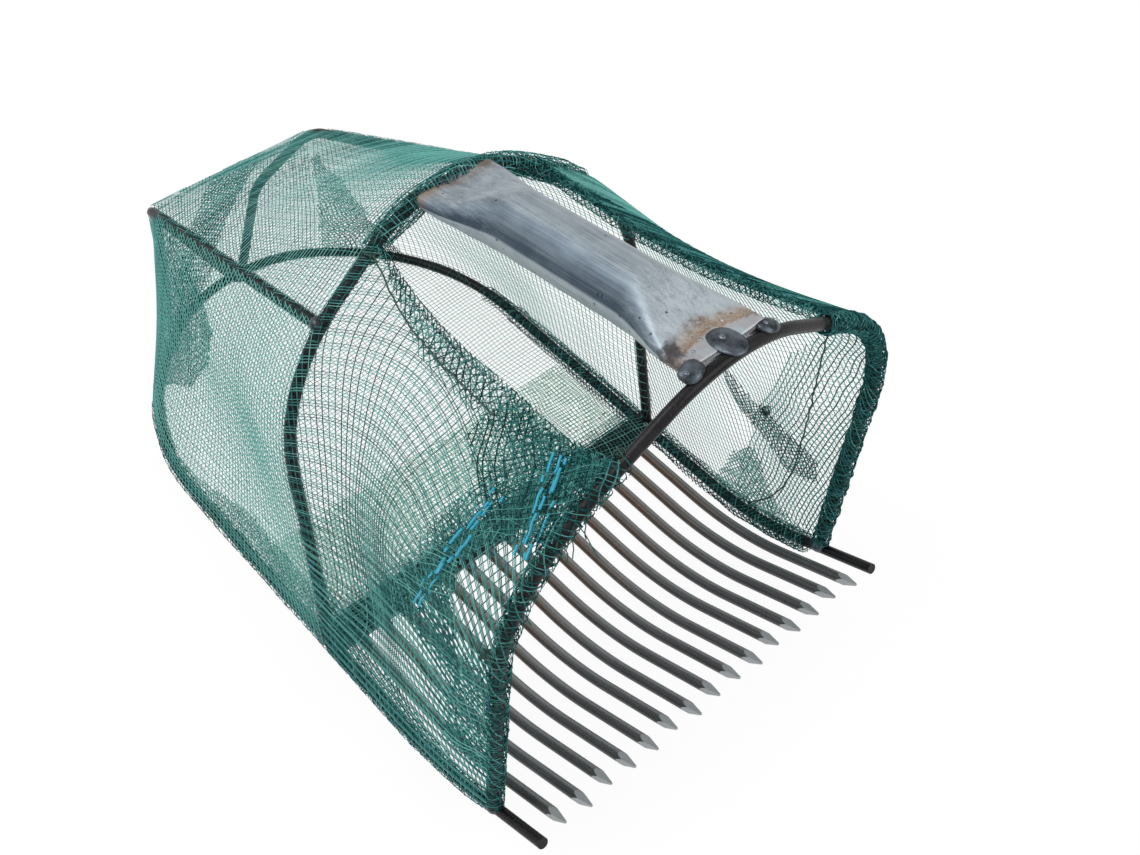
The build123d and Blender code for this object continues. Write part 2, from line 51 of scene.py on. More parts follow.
class Graph:
    def __init__(self, tree):
        self.tree = tree

    def feed(self, value, socket):
        if isinstance(value, bpy.types.Node):
            value = next(output for output in value.outputs if output.enabled)
        if isinstance(value, bpy.types.NodeSocket):
            self.tree.links.new(value, socket)
        elif socket.type == "RGBA" and len(value) == 3:
            socket.default_value = (*value, 1.0)
        else:
            socket.default_value = value

    def fill(self, sockets, values):
        for key, value in values.items():
            self.feed(value, sockets[key])

    def add(self, kind, inputs=None, **settings):
        made = self.tree.nodes.new(kind)
        for name, value in settings.items():
            setattr(made, name, value)
        self.fill(made.inputs, inputs or {})
        return made

    def calc(self, operation, *values):
        return self.add("ShaderNodeMath", dict(enumerate(values)), operation=operation)

    def plus(self, first, second):
        return self.calc("ADD", first, second)

    def minus(self, first, second):
        return self.calc("SUBTRACT", first, second)

    def times(self, first, second):
        return self.calc("MULTIPLY", first, second)

    def over(self, first, second):
        return self.calc("DIVIDE", first, second)

    def vector(self, operation, first, second=(0, 0, 0)):
        made = self.add("ShaderNodeVectorMath", {0: first, 1: second}, operation=operation)
        return made.outputs["Value" if operation in ("LENGTH", "DISTANCE", "DOT_PRODUCT") else "Vector"]

    def scaled(self, vector, factor):
        return self.add("ShaderNodeVectorMath", {0: vector, "Scale": factor}, operation="SCALE").outputs["Vector"]

    def spot(self, x, y, z=0.0):
        return self.add("ShaderNodeCombineXYZ", {"X": x, "Y": y, "Z": z})

    def axes(self, vector):
        return self.add("ShaderNodeSeparateXYZ", {"Vector": vector}).outputs

    def wander(self, vector, scale, detail, reach):
        slow = self.add("ShaderNodeTexNoise", {"Vector": vector, "Scale": scale, "Detail": detail})
        return self.scaled(self.vector("SUBTRACT", slow.outputs["Color"], (0.5, 0.5, 0.5)), reach)

    def remap(self, value, low, high, toLow=0.0, toHigh=1.0):
        return self.add("ShaderNodeMapRange", {
            "Value": value, "From Min": low, "From Max": high, "To Min": toLow, "To Max": toHigh}).outputs["Result"]

    def ramp(self, factor, stops):
        made = self.add("ShaderNodeValToRGB", {"Fac": factor})
        elements = made.color_ramp.elements
        while len(elements) < len(stops):
            elements.new(0.5)
        for element, (position, colour) in zip(elements, stops):
            element.position = position
            element.color = (*(colour if isinstance(colour, tuple) else (colour,) * 3), 1.0)
        return made.outputs["Color"]

    def mix(self, factor, first, second):
        return self.add("ShaderNodeMix", {0: factor, 6: first, 7: second}, data_type="RGBA").outputs[2]

    def bump(self, height, strength, distance):
        return self.add("ShaderNodeBump", {"Height": height, "Strength": strength, "Distance": distance})

    def tube(self, curve, radius, sides, capped=False):
        profile = self.add("GeometryNodeCurvePrimitiveCircle", {"Resolution": sides, "Radius": radius})
        return self.add("GeometryNodeCurveToMesh", {"Curve": curve, "Profile Curve": profile, "Fill Caps": capped})

    def finish(self, mesh, material, out):
        smoothed = self.add("GeometryNodeSetShadeSmooth", {"Geometry": mesh})
        real = self.add("GeometryNodeRealizeInstances", {"Geometry": smoothed})
        self.feed(self.add("GeometryNodeSetMaterial", {"Geometry": real, "Material": material}), out["Geometry"])
        return self.tree


def newTree(name, kind, inputs, outputs):
    # a socket's type is given by name, or follows from its default value
    tree = bpy.data.node_groups.new(name, kind)
    for side, sockets in (("INPUT", inputs), ("OUTPUT", outputs)):
        for label, default in sockets.items():
            named = default if isinstance(default, str) else type(default).__name__.capitalize()
            socket = tree.interface.new_socket(name=label, in_out=side, socket_type="NodeSocket" + named)
            if not isinstance(default, str):
                socket.default_value = default
    return Graph(tree), tree.nodes.new("NodeGroupInput").outputs, tree.nodes.new("NodeGroupOutput").inputs


def linked(name, data):
    made = bpy.data.objects.new(name, data)
    bpy.context.collection.objects.link(made)
    return made


def meshObject(name, points, faces, edges=()):
    made = bpy.data.meshes.new(name)
    made.from_pydata([tuple(point) for point in points], list(edges), list(faces))
    made.update()
    return linked(name, made)


def meshFromTree(name, source, tree, values):
    # runs a geometry tree on a mesh object and keeps the result as a plain mesh object
    modifier = source.modifiers.new("tree", "NODES")
    modifier.node_group = tree
    for item in tree.interface.items_tree:
        if item.item_type == "SOCKET" and item.in_out == "INPUT" and item.name in values:
            modifier[item.identifier] = values[item.name]
    depsgraph = bpy.context.evaluated_depsgraph_get()
    made = bpy.data.meshes.new_from_object(source.evaluated_get(depsgraph))
    made.name = name
    source.modifiers.remove(modifier)
    bpy.data.objects.remove(source)
    return linked(name, made)


def shadeSmooth(mesh):
    for polygon in mesh.polygons:
        polygon.use_smooth = True


def addPiece(piece, replaced=None):
    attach(piece, "root")
    if replaced is not None:
        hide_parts(replaced)
    return piece


# the rod frame, as it was built, in millimetres

rods = {
    "tinePitch": 10.0, "tineCount": 15, "rodRadius": 2.0, "tineRise": 27.0, "tineRiseAngle": 26.5, "bendRadius": 105.0,
    "loopReach": 296.0, "endSetback": 1.0, "flankTurn": 51.0, "flankExtra": 16.0, "tailTuck": 16.0,
    "stayAngle": 47.0, "stayCorner": (10.5, 38.5, 67.5), "barWidth": 12.0,
}
frontArch = {"setback": 24.0, "height": 164.0, "slope": 29.5, "shoulder": 66.0, "crown": 50.0, "tilt": 0.0, "lean": 0.0}
middleArch = {"setback": 115.0, "height": 160.0, "slope": 36.0, "shoulder": 68.0, "crown": 58.0, "tilt": 2.5,
              "lean": 10.5}
riseAngle = math.radians(rods["tineRiseAngle"])
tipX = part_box("base_loop")[1].x / mm + rods["endSetback"] - rods["rodRadius"] * math.sin(riseAngle)
floorRod = rods["rodRadius"]
sideHalf = (rods["tineCount"] + 1) / 2 * rods["tinePitch"]
riseRun = rods["tineRise"] / math.tan(riseAngle)
tailX = tipX - rods["loopReach"]
barX = tipX - middleArch["setback"]
frontX = tipX - frontArch["setback"]
frontFoot = np.array((frontX, 0.0, floorRod + rods["tineRise"] * (1 - frontArch["setback"] / riseRun)))
middleFoot = np.array((barX, 0.0, floorRod))
mirror = np.array((1, -1, 1))


def runs(grid, axis):
    # lengths along a grid from its first row or column
    steps = np.cumsum(np.linalg.norm(np.diff(grid, axis=axis), axis=2), axis=axis)
    return np.concatenate([np.zeros_like(steps.take([0], axis=axis)), steps], axis=axis)


def traced(points):
    # a path: points with their lengths along it
    points = np.array(points)
    lengths = runs(points[:, None], 0)[:, 0]
    return {"points": points, "lengths": lengths, "length": float(lengths[-1])}


def mirrored(path):
    return {**path, "points": path["points"] * mirror}


def roundedPath(corners, radii, arcSteps=28):
    # straight runs with a tangent arc at each inner corner
    corners = [np.array(corner, float) for corner in corners]
    points = [corners[0]]
    for before, corner, after, radius in zip(corners, corners[1:], corners[2:], radii):
        towards = (corner - before) / np.linalg.norm(corner - before)
        away = (after - corner) / np.linalg.norm(after - corner)
        turn = math.acos(max(-1.0, min(1.0, float(towards @ away))))
        start = corner - towards * radius * math.tan(turn / 2)
        inward = away - towards * math.cos(turn)
        inward /= np.linalg.norm(inward)
        for angle in (turn * step / arcSteps for step in range(arcSteps + 1)):
            points.append(start + radius * (towards * math.sin(angle) + inward * (1 - math.cos(angle))))
    return traced(points + [corners[-1]])


def along(path, length):
    return np.array([np.interp(length, path["lengths"], path["points"][:, axis]) for axis in range(3)])


def direction(path, length, reach=0.6):
    span = along(path, min(length + reach, path["length"])) - along(path, max(length - reach, 0))
    return span / np.linalg.norm(span)


def loopPath(offset):
    half = sideHalf + offset
    turn = math.radians(rods["flankTurn"])
    tailRadius = half - rods["tailTuck"]
    peakX = tailX - offset - tailRadius * (1 / math.sin(turn) - 1)
    flankX = peakX + half / math.tan(turn)
    endZ = floorRod + rods["tineRise"] - rods["endSetback"] * math.tan(riseAngle)
    left = [(tipX - rods["endSetback"], half, endZ), (tipX - riseRun, half, floorRod), (flankX, half, floorRod)]
    corners = left + [(peakX, 0, floorRod)] + [(x, -y, z) for x, y, z in reversed(left)]
    flankRadius = half + rods["flankExtra"]
    return roundedPath(corners, [rods["bendRadius"], flankRadius, tailRadius, flankRadius, rods["bendRadius"]])


def archCorners(arch, offset):
    half = sideHalf + offset
    slopeRate = math.tan(math.radians(arch["slope"]))
    tiltRate = math.tan(math.radians(arch["tilt"]))
    peak = arch["height"] + offset + (arch["crown"] + offset) * (1 / math.cos(math.radians(arch["slope"])) - 1)
    shoulderHeight = (peak - half * slopeRate) / (1 - tiltRate * slopeRate)
    return half, half - shoulderHeight * tiltRate, shoulderHeight, peak


def leaned(arch, foot, y, height):
    lean = math.radians(arch["lean"])
    return foot + np.array((-height * math.sin(lean), y, height * math.cos(lean)))


def archPath(arch, foot, offset):
    half, shoulderHalf, shoulderHeight, peak = archCorners(arch, offset)
    outline = [(half, 0), (shoulderHalf, shoulderHeight), (0, peak), (-shoulderHalf, shoulderHeight), (-half, 0)]
    shoulder = arch["shoulder"] + offset
    return roundedPath([leaned(arch, foot, *spot) for spot in outline], [shoulder, arch["crown"] + offset, shoulder])


def archShoulder(angle):
    # the place on the middle arch's shoulder bend at an angle up from sideways
    shoulderHalf, shoulderHeight = archCorners(middleArch, 0)[1:3]
    slope = math.radians(middleArch["slope"])
    halfTurn = (math.pi / 2 - slope - math.radians(middleArch["tilt"])) / 2
    reach = middleArch["shoulder"] / math.cos(halfTurn)
    inward = math.pi / 2 - slope - halfTurn
    y = shoulderHalf - reach * math.cos(inward) + middleArch["shoulder"] * math.cos(math.radians(angle))
    height = shoulderHeight - reach * math.sin(inward) + middleArch["shoulder"] * math.sin(math.radians(angle))
    return leaned(middleArch, middleFoot, y, height)


loopAxis = loopPath(0)
frontAxis = archPath(frontArch, frontFoot, 0)
middleAxis = archPath(middleArch, middleFoot, 0)
stayShoulder = archShoulder(rods["stayAngle"])
stayCorner = np.array((tailX, 0, floorRod)) + np.array(rods["stayCorner"])
print("rod frame traced, tips at", round(tipX, 2))


# finishes, with slow blotches, fine grain and small pits in a group that they share

def makeWearTree():
    graph, given, out = newTree("surfaceWear", "ShaderNodeTree", {
        "Vector": "Vector", "Blotch Scale": 60.0, "Grain Scale": 900.0, "Pit Scale": 350.0, "Pit Size": 0.12},
        {"Blotch": "Float", "Grain": "Float", "Pits": "Float"})
    place = given["Vector"]
    blotch = graph.add("ShaderNodeTexNoise", {
        "Vector": place, "Scale": given["Blotch Scale"], "Detail": 4.0, "Roughness": 0.6})
    grain = graph.add("ShaderNodeTexNoise", {"Vector": place, "Scale": given["Grain Scale"], "Detail": 2.0})
    cells = graph.add("ShaderNodeTexVoronoi", {"Vector": place, "Scale": given["Pit Scale"]})
    pits = graph.calc("LESS_THAN", cells.outputs["Distance"], given["Pit Size"])
    graph.fill(out, {"Blotch": blotch.outputs["Fac"], "Grain": grain.outputs["Fac"], "Pits": pits})
    return graph.tree


wearTree = makeWearTree()


def wear(graph, vector, blotch=60.0, grain=900.0, pit=350.0, pitSize=0.0):
    return graph.add("ShaderNodeGroup", {
        "Vector": vector, "Blotch Scale": blotch, "Grain Scale": grain, "Pit Scale": pit, "Pit Size": pitSize},
        node_tree=wearTree).outputs


def newMaterial(name):
    made = bpy.data.materials.new(name)
    made.use_nodes = True
    graph = Graph(made.node_tree)
    shader = made.node_tree.nodes["Principled BSDF"]
    return made, graph, shader.inputs, graph.add("ShaderNodeTexCoord").outputs["Object"]


rodFinish = {"dark": (0.003, 0.003, 0.004), "light": (0.015, 0.015, 0.017), "rust": (0.042, 0.024, 0.016),
             "scratchGlint": (0.34, 0.35, 0.36)}


def makeRodMaterial():
    made, graph, shader, place = newMaterial("darkRod")
    marks = wear(graph, place, 70.0, 700.0, 420.0, 0.08)
    base = graph.ramp(marks["Blotch"], [(0.35, rodFinish["dark"]), (0.70, rodFinish["light"])])
    rusty = graph.mix(graph.remap(marks["Grain"], 0.64, 0.78, 0.0, 0.15), base, rodFinish["rust"])
    # pale pits in the rod's colour: real scratches, and painted glints standing in for light caught on the hammered rod
    graph.fill(shader, {
        "Base Color": graph.mix(graph.times(marks["Pits"], 0.20), rusty, rodFinish["scratchGlint"]), "Metallic": 0.15,
        "Specular IOR Level": 0.24, "Roughness": graph.remap(marks["Blotch"], 0.3, 0.7, 0.26, 0.46),
        "Normal": graph.bump(marks["Grain"], 0.5, 0.0003)})
    return made


tineFinish = {"dark": (0.068, 0.068, 0.070), "light": (0.100, 0.103, 0.107), "brown": (0.105, 0.064, 0.036),
              "highlightStreak": (0.40, 0.41, 0.42), "cut": (0.36, 0.375, 0.385), "skyward": (-0.10, 0.42, 0.90),
              "rootFrom": 0.100, "rootTo": 0.060, "cutLength": 12.0, "cutFade": 2.0}


def makeTineMaterial():
    made, graph, shader, place = newMaterial("nailSteel")
    drawn = graph.add("ShaderNodeMapping", {"Vector": place, "Scale": (0.07, 1.0, 1.0)})
    blotch = wear(graph, drawn, 60.0)["Blotch"]
    base = graph.ramp(blotch, [(0.30, tineFinish["dark"]), (0.72, tineFinish["light"])])
    lengthwise = graph.axes(place)["X"]
    rooted = graph.remap(lengthwise, tineFinish["rootFrom"], tineFinish["rootTo"], 0.0, 1.2)
    browned = graph.mix(graph.times(rooted, blotch), base, tineFinish["brown"])
    # painted highlight: faces turned towards the skyward direction get a lighter streak, standing in for light along
    # the top of each tine
    normal = graph.add("ShaderNodeNewGeometry").outputs["Normal"]
    highlightFacing = graph.vector("DOT_PRODUCT", normal, tineFinish["skyward"])
    shank = graph.mix(graph.remap(highlightFacing, 0.72, 1.0, 0.0, 0.75), browned, tineFinish["highlightStreak"])
    forward = graph.vector("DOT_PRODUCT", normal, (math.cos(riseAngle), 0.0, math.sin(riseAngle)))
    cutStart = tipX - tineFinish["cutLength"]
    nearTip = graph.remap(lengthwise, cutStart * mm, (cutStart + tineFinish["cutFade"]) * mm)
    cut = graph.times(graph.remap(forward, 0.10, 0.14), nearTip)
    graph.fill(shader, {"Base Color": graph.mix(cut, shank, tineFinish["cut"]), "Roughness": 0.46, "Metallic": 0.80})
    return made


netFinish = {"deep": (0.006, 0.045, 0.046), "mid": (0.042, 0.185, 0.176), "pale": (0.165, 0.440, 0.400)}


def makeNetMaterial(name, lift):
    made, graph, shader, place = newMaterial(name)
    grain = wear(graph, place, grain=800.0)["Grain"]
    tone = graph.add("ShaderNodeAttribute", attribute_name="threadTone").outputs["Fac"]
    # lift shifts every thread along the ramp: above zero is painted light, below zero is painted shade
    shade = graph.plus(graph.plus(graph.times(tone, 0.45), graph.times(grain, 0.5)), 0.1 + lift)
    colour = graph.ramp(shade, [(0.25, netFinish["deep"]), (0.52, netFinish["mid"]), (0.85, netFinish["pale"])])
    graph.fill(shader, {
        "Base Color": colour, "Roughness": graph.remap(grain, 0.3, 0.7, 0.45, 0.70), "Specular IOR Level": 0.03})
    return made


def makeThreadMaterial(name, colour, spread):
    made, graph, shader, place = newMaterial(name)
    grain = wear(graph, place, grain=2500.0)["Grain"]
    darker = tuple(channel * (1 - spread) for channel in colour)
    graph.fill(shader, {"Base Color": graph.ramp(grain, [(0.35, darker), (0.65, colour)]), "Roughness": 0.5})
    return made


rodMaterial = makeRodMaterial()
tineMaterial = makeTineMaterial()
# lit and shaded copies of one net thread: the shaded copy is painted shade for nets lying in each other's shade, the
# lit and bright lit copies are painted light
netMaterial = makeNetMaterial("greenNet", -0.02)
shadedNetMaterial = makeNetMaterial("shadedGreenNet", -0.18)
litNetMaterial = makeNetMaterial("litGreenNet", 0.17)
brightLitNetMaterial = makeNetMaterial("brightLitGreenNet", 0.34)
sewingMaterial = makeThreadMaterial("sewingThread", (0.008, 0.060, 0.046), 0.4)
# a greener net for the floor strip, its colour raised as painted light to make up for the shade of the nets above it
stripLitMaterial = makeThreadMaterial("litGreenStripNet", (0.170, 0.530, 0.370), 0.35)
markerMaterial = makeThreadMaterial("markerThread", (0.016, 0.390, 0.550), 0.35)
redMaterial = makeThreadMaterial("redThread", (0.30, 0.045, 0.035), 0.3)
finishes = {"base_loop": rodMaterial, "front_arch": rodMaterial, "middle_arch": rodMaterial, "left_stay": rodMaterial,
            "right_stay": rodMaterial, "tine_bar": rodMaterial}
finishes.update({"tine_%02d" % (number + 1): tineMaterial for number in range(rods["tineCount"])})
for node, finish in finishes.items():
    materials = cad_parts[node].data.materials
    materials.clear()
    materials.append(finish)
print("finishes made")


# net: threads laid over a panel through the panel's flat map

def makeNetTree():
    graph, given, out = newTree("netOnPanel", "GeometryNodeTree", {
        "Geometry": "Geometry", "Width": 0.1, "Height": 0.1, "Wale Spacing": 0.002, "Wale Step": 0.002,
        "Band Period": 0.006, "Line Gap": 0.002, "Lines In Band": 3, "Line Step": 0.002, "Wale Radius": 0.0002,
        "Line Radius": 0.0002, "Wobble": 0.0004, "Lift": 0.0002, "Seed": 0.0, "Material": "Material"},
        {"Geometry": "Geometry"})
    flatMap = graph.add("GeometryNodeInputNamedAttribute", {"Name": "flat"}, data_type="FLOAT_VECTOR")
    unit = graph.spot(graph.over(1.0, given["Width"]), graph.over(1.0, given["Height"]))
    seeded = graph.spot(given["Seed"], given["Seed"], given["Seed"])

    def count(length, spacing):
        return graph.calc("CEIL", graph.over(length, spacing))

    def laidThreads(columns, rows, width, height, axis, spread, radius, lift):
        # a flat grid keeps its threads across one axis, is spread out, wobbled and laid on the panel
        grid = graph.add("GeometryNodeMeshGrid", {
            "Size X": width, "Size Y": height, "Vertices X": columns, "Vertices Y": rows})
        corner = graph.spot(graph.times(width, 0.5), graph.times(height, 0.5))
        moved = graph.add("GeometryNodeTransform", {"Geometry": grid, "Translation": corner})
        ends = graph.add("GeometryNodeInputMeshEdgeVertices").outputs
        span = graph.axes(graph.vector("SUBTRACT", ends["Position 2"], ends["Position 1"]))
        crossing = graph.calc("GREATER_THAN", graph.calc("ABSOLUTE", span[axis]), 0.000001)
        single = graph.add("GeometryNodeDeleteGeometry", {"Geometry": moved, "Selection": crossing},
                           domain="EDGE", mode="EDGE_FACE")
        flat = graph.axes(graph.add("GeometryNodeInputPosition"))
        number = graph.plus(graph.times(flat[axis], 7919.0), given["Seed"])  # a tone of its own for each thread
        tone = graph.add("ShaderNodeTexWhiteNoise", {"W": number}, noise_dimensions="1D").outputs["Value"]
        toned = graph.add("GeometryNodeStoreNamedAttribute", {"Geometry": single, "Name": "threadTone", "Value": tone},
                          data_type="FLOAT", domain="POINT")
        placed = spread(flat["X"], flat["Y"])
        wobble = graph.wander(graph.vector("ADD", placed, seeded), 120.0, 2.0, given["Wobble"])
        level = graph.vector("MULTIPLY", graph.vector("ADD", placed, wobble), (1, 1, 0))
        spreadOut = graph.add("GeometryNodeSetPosition", {"Geometry": toned, "Position": level})
        flatSpot = graph.vector("MULTIPLY", graph.add("GeometryNodeInputPosition"), unit)
        onSurface, upright = [graph.add("GeometryNodeSampleUVSurface", {
            "Mesh": given["Geometry"], "Value": graph.add(sampled), "UV Map": flatMap, "Sample UV": flatSpot},
            data_type="FLOAT_VECTOR") for sampled in ("GeometryNodeInputPosition", "GeometryNodeInputNormal")]
        missed = graph.add("FunctionNodeBooleanMath", {0: onSurface.outputs["Is Valid"]}, operation="NOT")
        kept = graph.add("GeometryNodeDeleteGeometry", {"Geometry": spreadOut, "Selection": missed},
                         domain="POINT", mode="ALL")
        raised = graph.vector("ADD", onSurface, graph.scaled(upright, lift))
        laid = graph.add("GeometryNodeSetPosition", {"Geometry": kept, "Position": raised})
        return graph.tube(graph.add("GeometryNodeMeshToCurve", {"Mesh": laid}), radius, 4)

    def inBands(x, y):
        # line number to a place in its band: bands a period apart, lines a gap apart within
        gap, lines = given["Line Gap"], given["Lines In Band"]
        number = graph.calc("ROUND", graph.over(y, gap))
        band = graph.calc("FLOOR", graph.over(graph.plus(number, 0.5), lines))
        within = graph.minus(number, graph.times(band, lines))
        return graph.spot(x, graph.plus(graph.times(band, given["Band Period"]), graph.times(within, gap)))

    wales = count(given["Width"], given["Wale Spacing"])
    waleWidth = graph.times(graph.minus(wales, 1.0), given["Wale Spacing"])
    lines = graph.times(count(given["Height"], given["Band Period"]), given["Lines In Band"])
    lineHeight = graph.times(graph.minus(lines, 1.0), given["Line Gap"])
    joined = graph.add("GeometryNodeJoinGeometry")
    for tubes in (laidThreads(wales, count(given["Height"], given["Wale Step"]), waleWidth, given["Height"], "X",
                              graph.spot, given["Wale Radius"], 0.0),
                  laidThreads(count(given["Width"], given["Line Step"]), lines, given["Width"], lineHeight, "Y",
                              inBands, given["Line Radius"], given["Lift"])):
        graph.feed(tubes, joined.inputs["Geometry"])
    return graph.finish(joined, given["Material"], out)


netTree = makeNetTree()
netPattern = {"Wale Spacing": 2.3, "Wale Step": 1.8, "Band Period": 6.0, "Line Gap": 1.7, "Line Step": 1.5,
              "Wale Radius": 0.16, "Line Radius": 0.13, "Wobble": 0.35, "Lift": 0.2}


def gridFaces(rows, columns):
    return [(r * columns + c, r * columns + c + 1, (r + 1) * columns + c + 1, (r + 1) * columns + c)
            for r in range(rows - 1) for c in range(columns - 1)]


def netPiece(name, points, flats, seed, pattern, material):
    # points and flats are grids of rows; the flat map goes into a UV layer, scaled into the unit square
    panel = meshObject(name + "Panel", points.reshape(-1, 3) * mm, gridFaces(*points.shape[:2]))
    low = flats.reshape(-1, 2).min(axis=0)
    size = flats.reshape(-1, 2).max(axis=0) - low
    spots = (flats.reshape(-1, 2) - low) / size
    layer = panel.data.uv_layers.new(name="flat")
    for loop in panel.data.loops:
        layer.data[loop.index].uv = spots[loop.vertex_index]
    shadeSmooth(panel.data)
    values = {key: value * mm for key, value in {**netPattern, **pattern}.items()}
    values.update({"Width": size[0] * mm, "Height": size[1] * mm, "Seed": float(seed), "Lines In Band": 3,
                   "Material": material})
    piece = meshFromTree(name, panel, netTree, values)
    print("net piece", name, len(piece.data.polygons), "faces")
    return piece


# panel surfaces

netSkin = 2.4
netLoop = loopPath(netSkin)
netFront = archPath(frontArch, frontFoot, netSkin)
netMiddle = archPath(middleArch, middleFoot, netSkin)
hems = {"middleShare": 0.84, "frontShare": 0.79, "sag": 7.0,
        "nearShares": (0, 0.06, 0.12, 0.2, 0.3, 0.4, 0.5, 0.6, 0.7, 0.8, 0.9, 1),
        "nearDrops": (0, 1.5, 5.5, 9.5, 12.2, 12.6, 12.2, 11.2, 11.2, 11.4, 7.5, 1.0)}
stayFold = {"side": 15.0, "top": 66.0, "rows": 6, "skin": 2.7, "bend": np.array((1.6, -1.6, -0.6)),
            "bendFrom": 0.84, "pushBack": -0.9}
sags = {"side": np.array((0, -4.0, 0)), "top": np.array((0, 0, -4.0)), "back": np.array((-3.0, 0, 0)), "floor": 0.9}


def smooth(value, low, high):
    share = np.clip((value - low) / (high - low), 0, 1)
    return share * share * (3 - 2 * share)


def lengthAt(path, axis, target):
    # length along the left half of a path at which a coordinate reaches a target
    spots = np.linspace(0, path["length"] / 2, 4000)
    values = np.array([along(path, spot)[axis] for spot in spots])
    return float(spots[np.argmin(np.abs(values - target))])


def stretch(path, start, end):
    return lambda share: along(path, start + (end - start) * share)


def straight(start, end):
    return lambda share: start + (end - start) * share


def sheetGrid(first, last, low, high, columns, rows, sag, power=2):
    # a grid over a patch between four edges, whose middle sags by a vector
    grid = np.zeros((rows, columns, 3))
    for r in range(rows):
        up = r / (rows - 1)
        for c in range(columns):
            across = c / (columns - 1)
            sides = first(up) * (1 - across) + last(up) * across
            ends = low(across) * (1 - up) + high(across) * up
            corners = ((first(0) * (1 - up) + first(1) * up) * (1 - across)
                       + (last(0) * (1 - up) + last(1) * up) * across)
            dip = (math.sin(math.pi * across) * math.sin(math.pi * up)) ** power
            grid[r, c] = sides + ends - corners + sag * dip
    return grid


def flatByLength(grid):
    # flat map: p along the rows, q up from the first row, both as lengths on the surface
    q = runs(grid, 0)
    return np.stack([np.broadcast_to(runs(grid, 1).mean(axis=0), q.shape), q], axis=2)


def stayEdge(share, angle):
    # the net's line over a stay, at an angle up from sideways, pushed back round the stay's rear corner
    turn = math.radians(angle)
    bend = float(smooth(share, stayFold["bendFrom"], 1.0))
    axis = stayShoulder + (stayCorner - stayShoulder) * share + stayFold["bend"] * bend
    outward = np.array((stayFold["pushBack"] * bend, math.cos(turn), math.sin(turn)))
    return axis + outward / np.linalg.norm(outward) * stayFold["skin"]


def hemSpot(share, drop):
    rear = along(netMiddle, hemRear)
    return rear + (along(netFront, hemFront) - rear) * share - np.array((0, 0, drop))


def farHem(share):
    return hemSpot(share, hems["sag"] * math.sin(math.pi * share))


def nearHem(share):
    # before it is turned over to its side, the near hem drops close behind the arch and then runs nearly level
    return hemSpot(share, np.interp(share, hems["nearShares"], hems["nearDrops"]))


def sideStay(share):
    return stayEdge(share, stayFold["side"])


def topStay(share):
    return stayEdge(share, stayFold["top"])


def nearTopStay(share):
    return topStay(share) * mirror


def bottomGrid():
    inner = loopPath(-rods["rodRadius"])
    start = lengthAt(inner, 0, barX - rods["barWidth"] / 2)
    rows = []
    for share in np.linspace(0, 0.995, 64):
        edge = along(inner, start + (inner["length"] / 2 - start) * share)
        rows.append([(edge[0], edge[1] * side, floorRod - sags["floor"] * (1 - side * side))
                     for side in np.linspace(1, -1, 40)])
    return np.array(rows)


loopAtFront = lengthAt(netLoop, 0, frontX)
loopAtBar = lengthAt(netLoop, 0, barX)
loopAtCorner = lengthAt(netLoop, 0, sideStay(1.0)[0])
hemRear = netMiddle["length"] / 2 * hems["middleShare"]
hemFront = netFront["length"] / 2 * hems["frontShare"]
archAtSide = lengthAt(netMiddle, 2, sideStay(0.0)[2])
archAtTop = lengthAt(netMiddle, 2, topStay(0.0)[2])
loopRear = along(netLoop, loopAtCorner)
topRear = straight(topStay(1.0), nearTopStay(1.0))
farFront, nearFront = (sheetGrid(stretch(netMiddle, 0, hemRear), stretch(netFront, 0, hemFront),
                                 stretch(netLoop, loopAtBar, loopAtFront), hem, columns=48, rows=60, sag=sags["side"])
                       for hem in (farHem, nearHem))
nearFront = nearFront * mirror
rearSide = sheetGrid(stretch(netMiddle, 0, archAtSide), straight(loopRear, sideStay(1.0)),
                     stretch(netLoop, loopAtBar, loopAtCorner), sideStay, columns=60, rows=48, sag=sags["side"])
foldAngles = np.linspace(stayFold["side"], stayFold["top"], stayFold["rows"])[1:]
stayRows = np.array([[stayEdge(share, angle) for share in np.linspace(0, 1, 60)] for angle in foldAngles])
farRear = np.concatenate([rearSide, stayRows], axis=0)
nearRear = farRear * mirror
topGrid = sheetGrid(topStay, nearTopStay, stretch(netMiddle, archAtTop, netMiddle["length"] - archAtTop), topRear,
                    columns=56, rows=56, sag=sags["top"])
backGrid = sheetGrid(straight(loopRear, topStay(1.0)), straight(loopRear * mirror, nearTopStay(1.0)),
                     stretch(netLoop, loopAtCorner, netLoop["length"] - loopAtCorner), topRear,
                     columns=40, rows=36, sag=sags["back"], power=1)
floorGrid = bottomGrid()
print("panel surfaces laid out")


def ruffled(flats, amount, wave, seed):
    # pushes a flat map about by smooth noise, so that its threads crowd and part
    moved = flats.copy()
    for r, c in np.ndindex(flats.shape[:2]):
        spot = Vector((flats[r, c, 0] / wave, flats[r, c, 1] / wave, seed * 1.7))
        moved[r, c] += amount * np.array(noise.noise_vector(spot)[:2])
    return moved


def turned(flats, degrees):
    angle = math.radians(degrees)
    p = flats[..., 0] * math.cos(angle) + flats[..., 1] * math.sin(angle)
    q = flats[..., 1] * math.cos(angle) - flats[..., 0] * math.sin(angle)
    return np.stack([p, q], axis=2)


def onGrid(grid, across, up):
    # point on a panel at its shares across and up
    rows, columns = grid.shape[:2]
    c = min(max(across, 0.0), 1.0) * (columns - 1)
    r = min(max(up, 0.0), 1.0) * (rows - 1)
    c0 = min(int(c), columns - 2)
    r0 = min(int(r), rows - 2)
    low = grid[r0, c0] * (1 - c + c0) + grid[r0, c0 + 1] * (c - c0)
    high = grid[r0 + 1, c0] * (1 - c + c0) + grid[r0 + 1, c0 + 1] * (c - c0)
    return low * (1 - r + r0) + high * (r - r0)


gather = {"across": 0.381, "low": 55.0, "high": 118.0, "pull": 20.0, "reach": 9.0, "arc": 60.0, "lean": 0.08,
          "leanFrom": 90.0, "gripFrom": 10, "fade": (25, 35), "bowFrom": 15, "bowTo": 80}


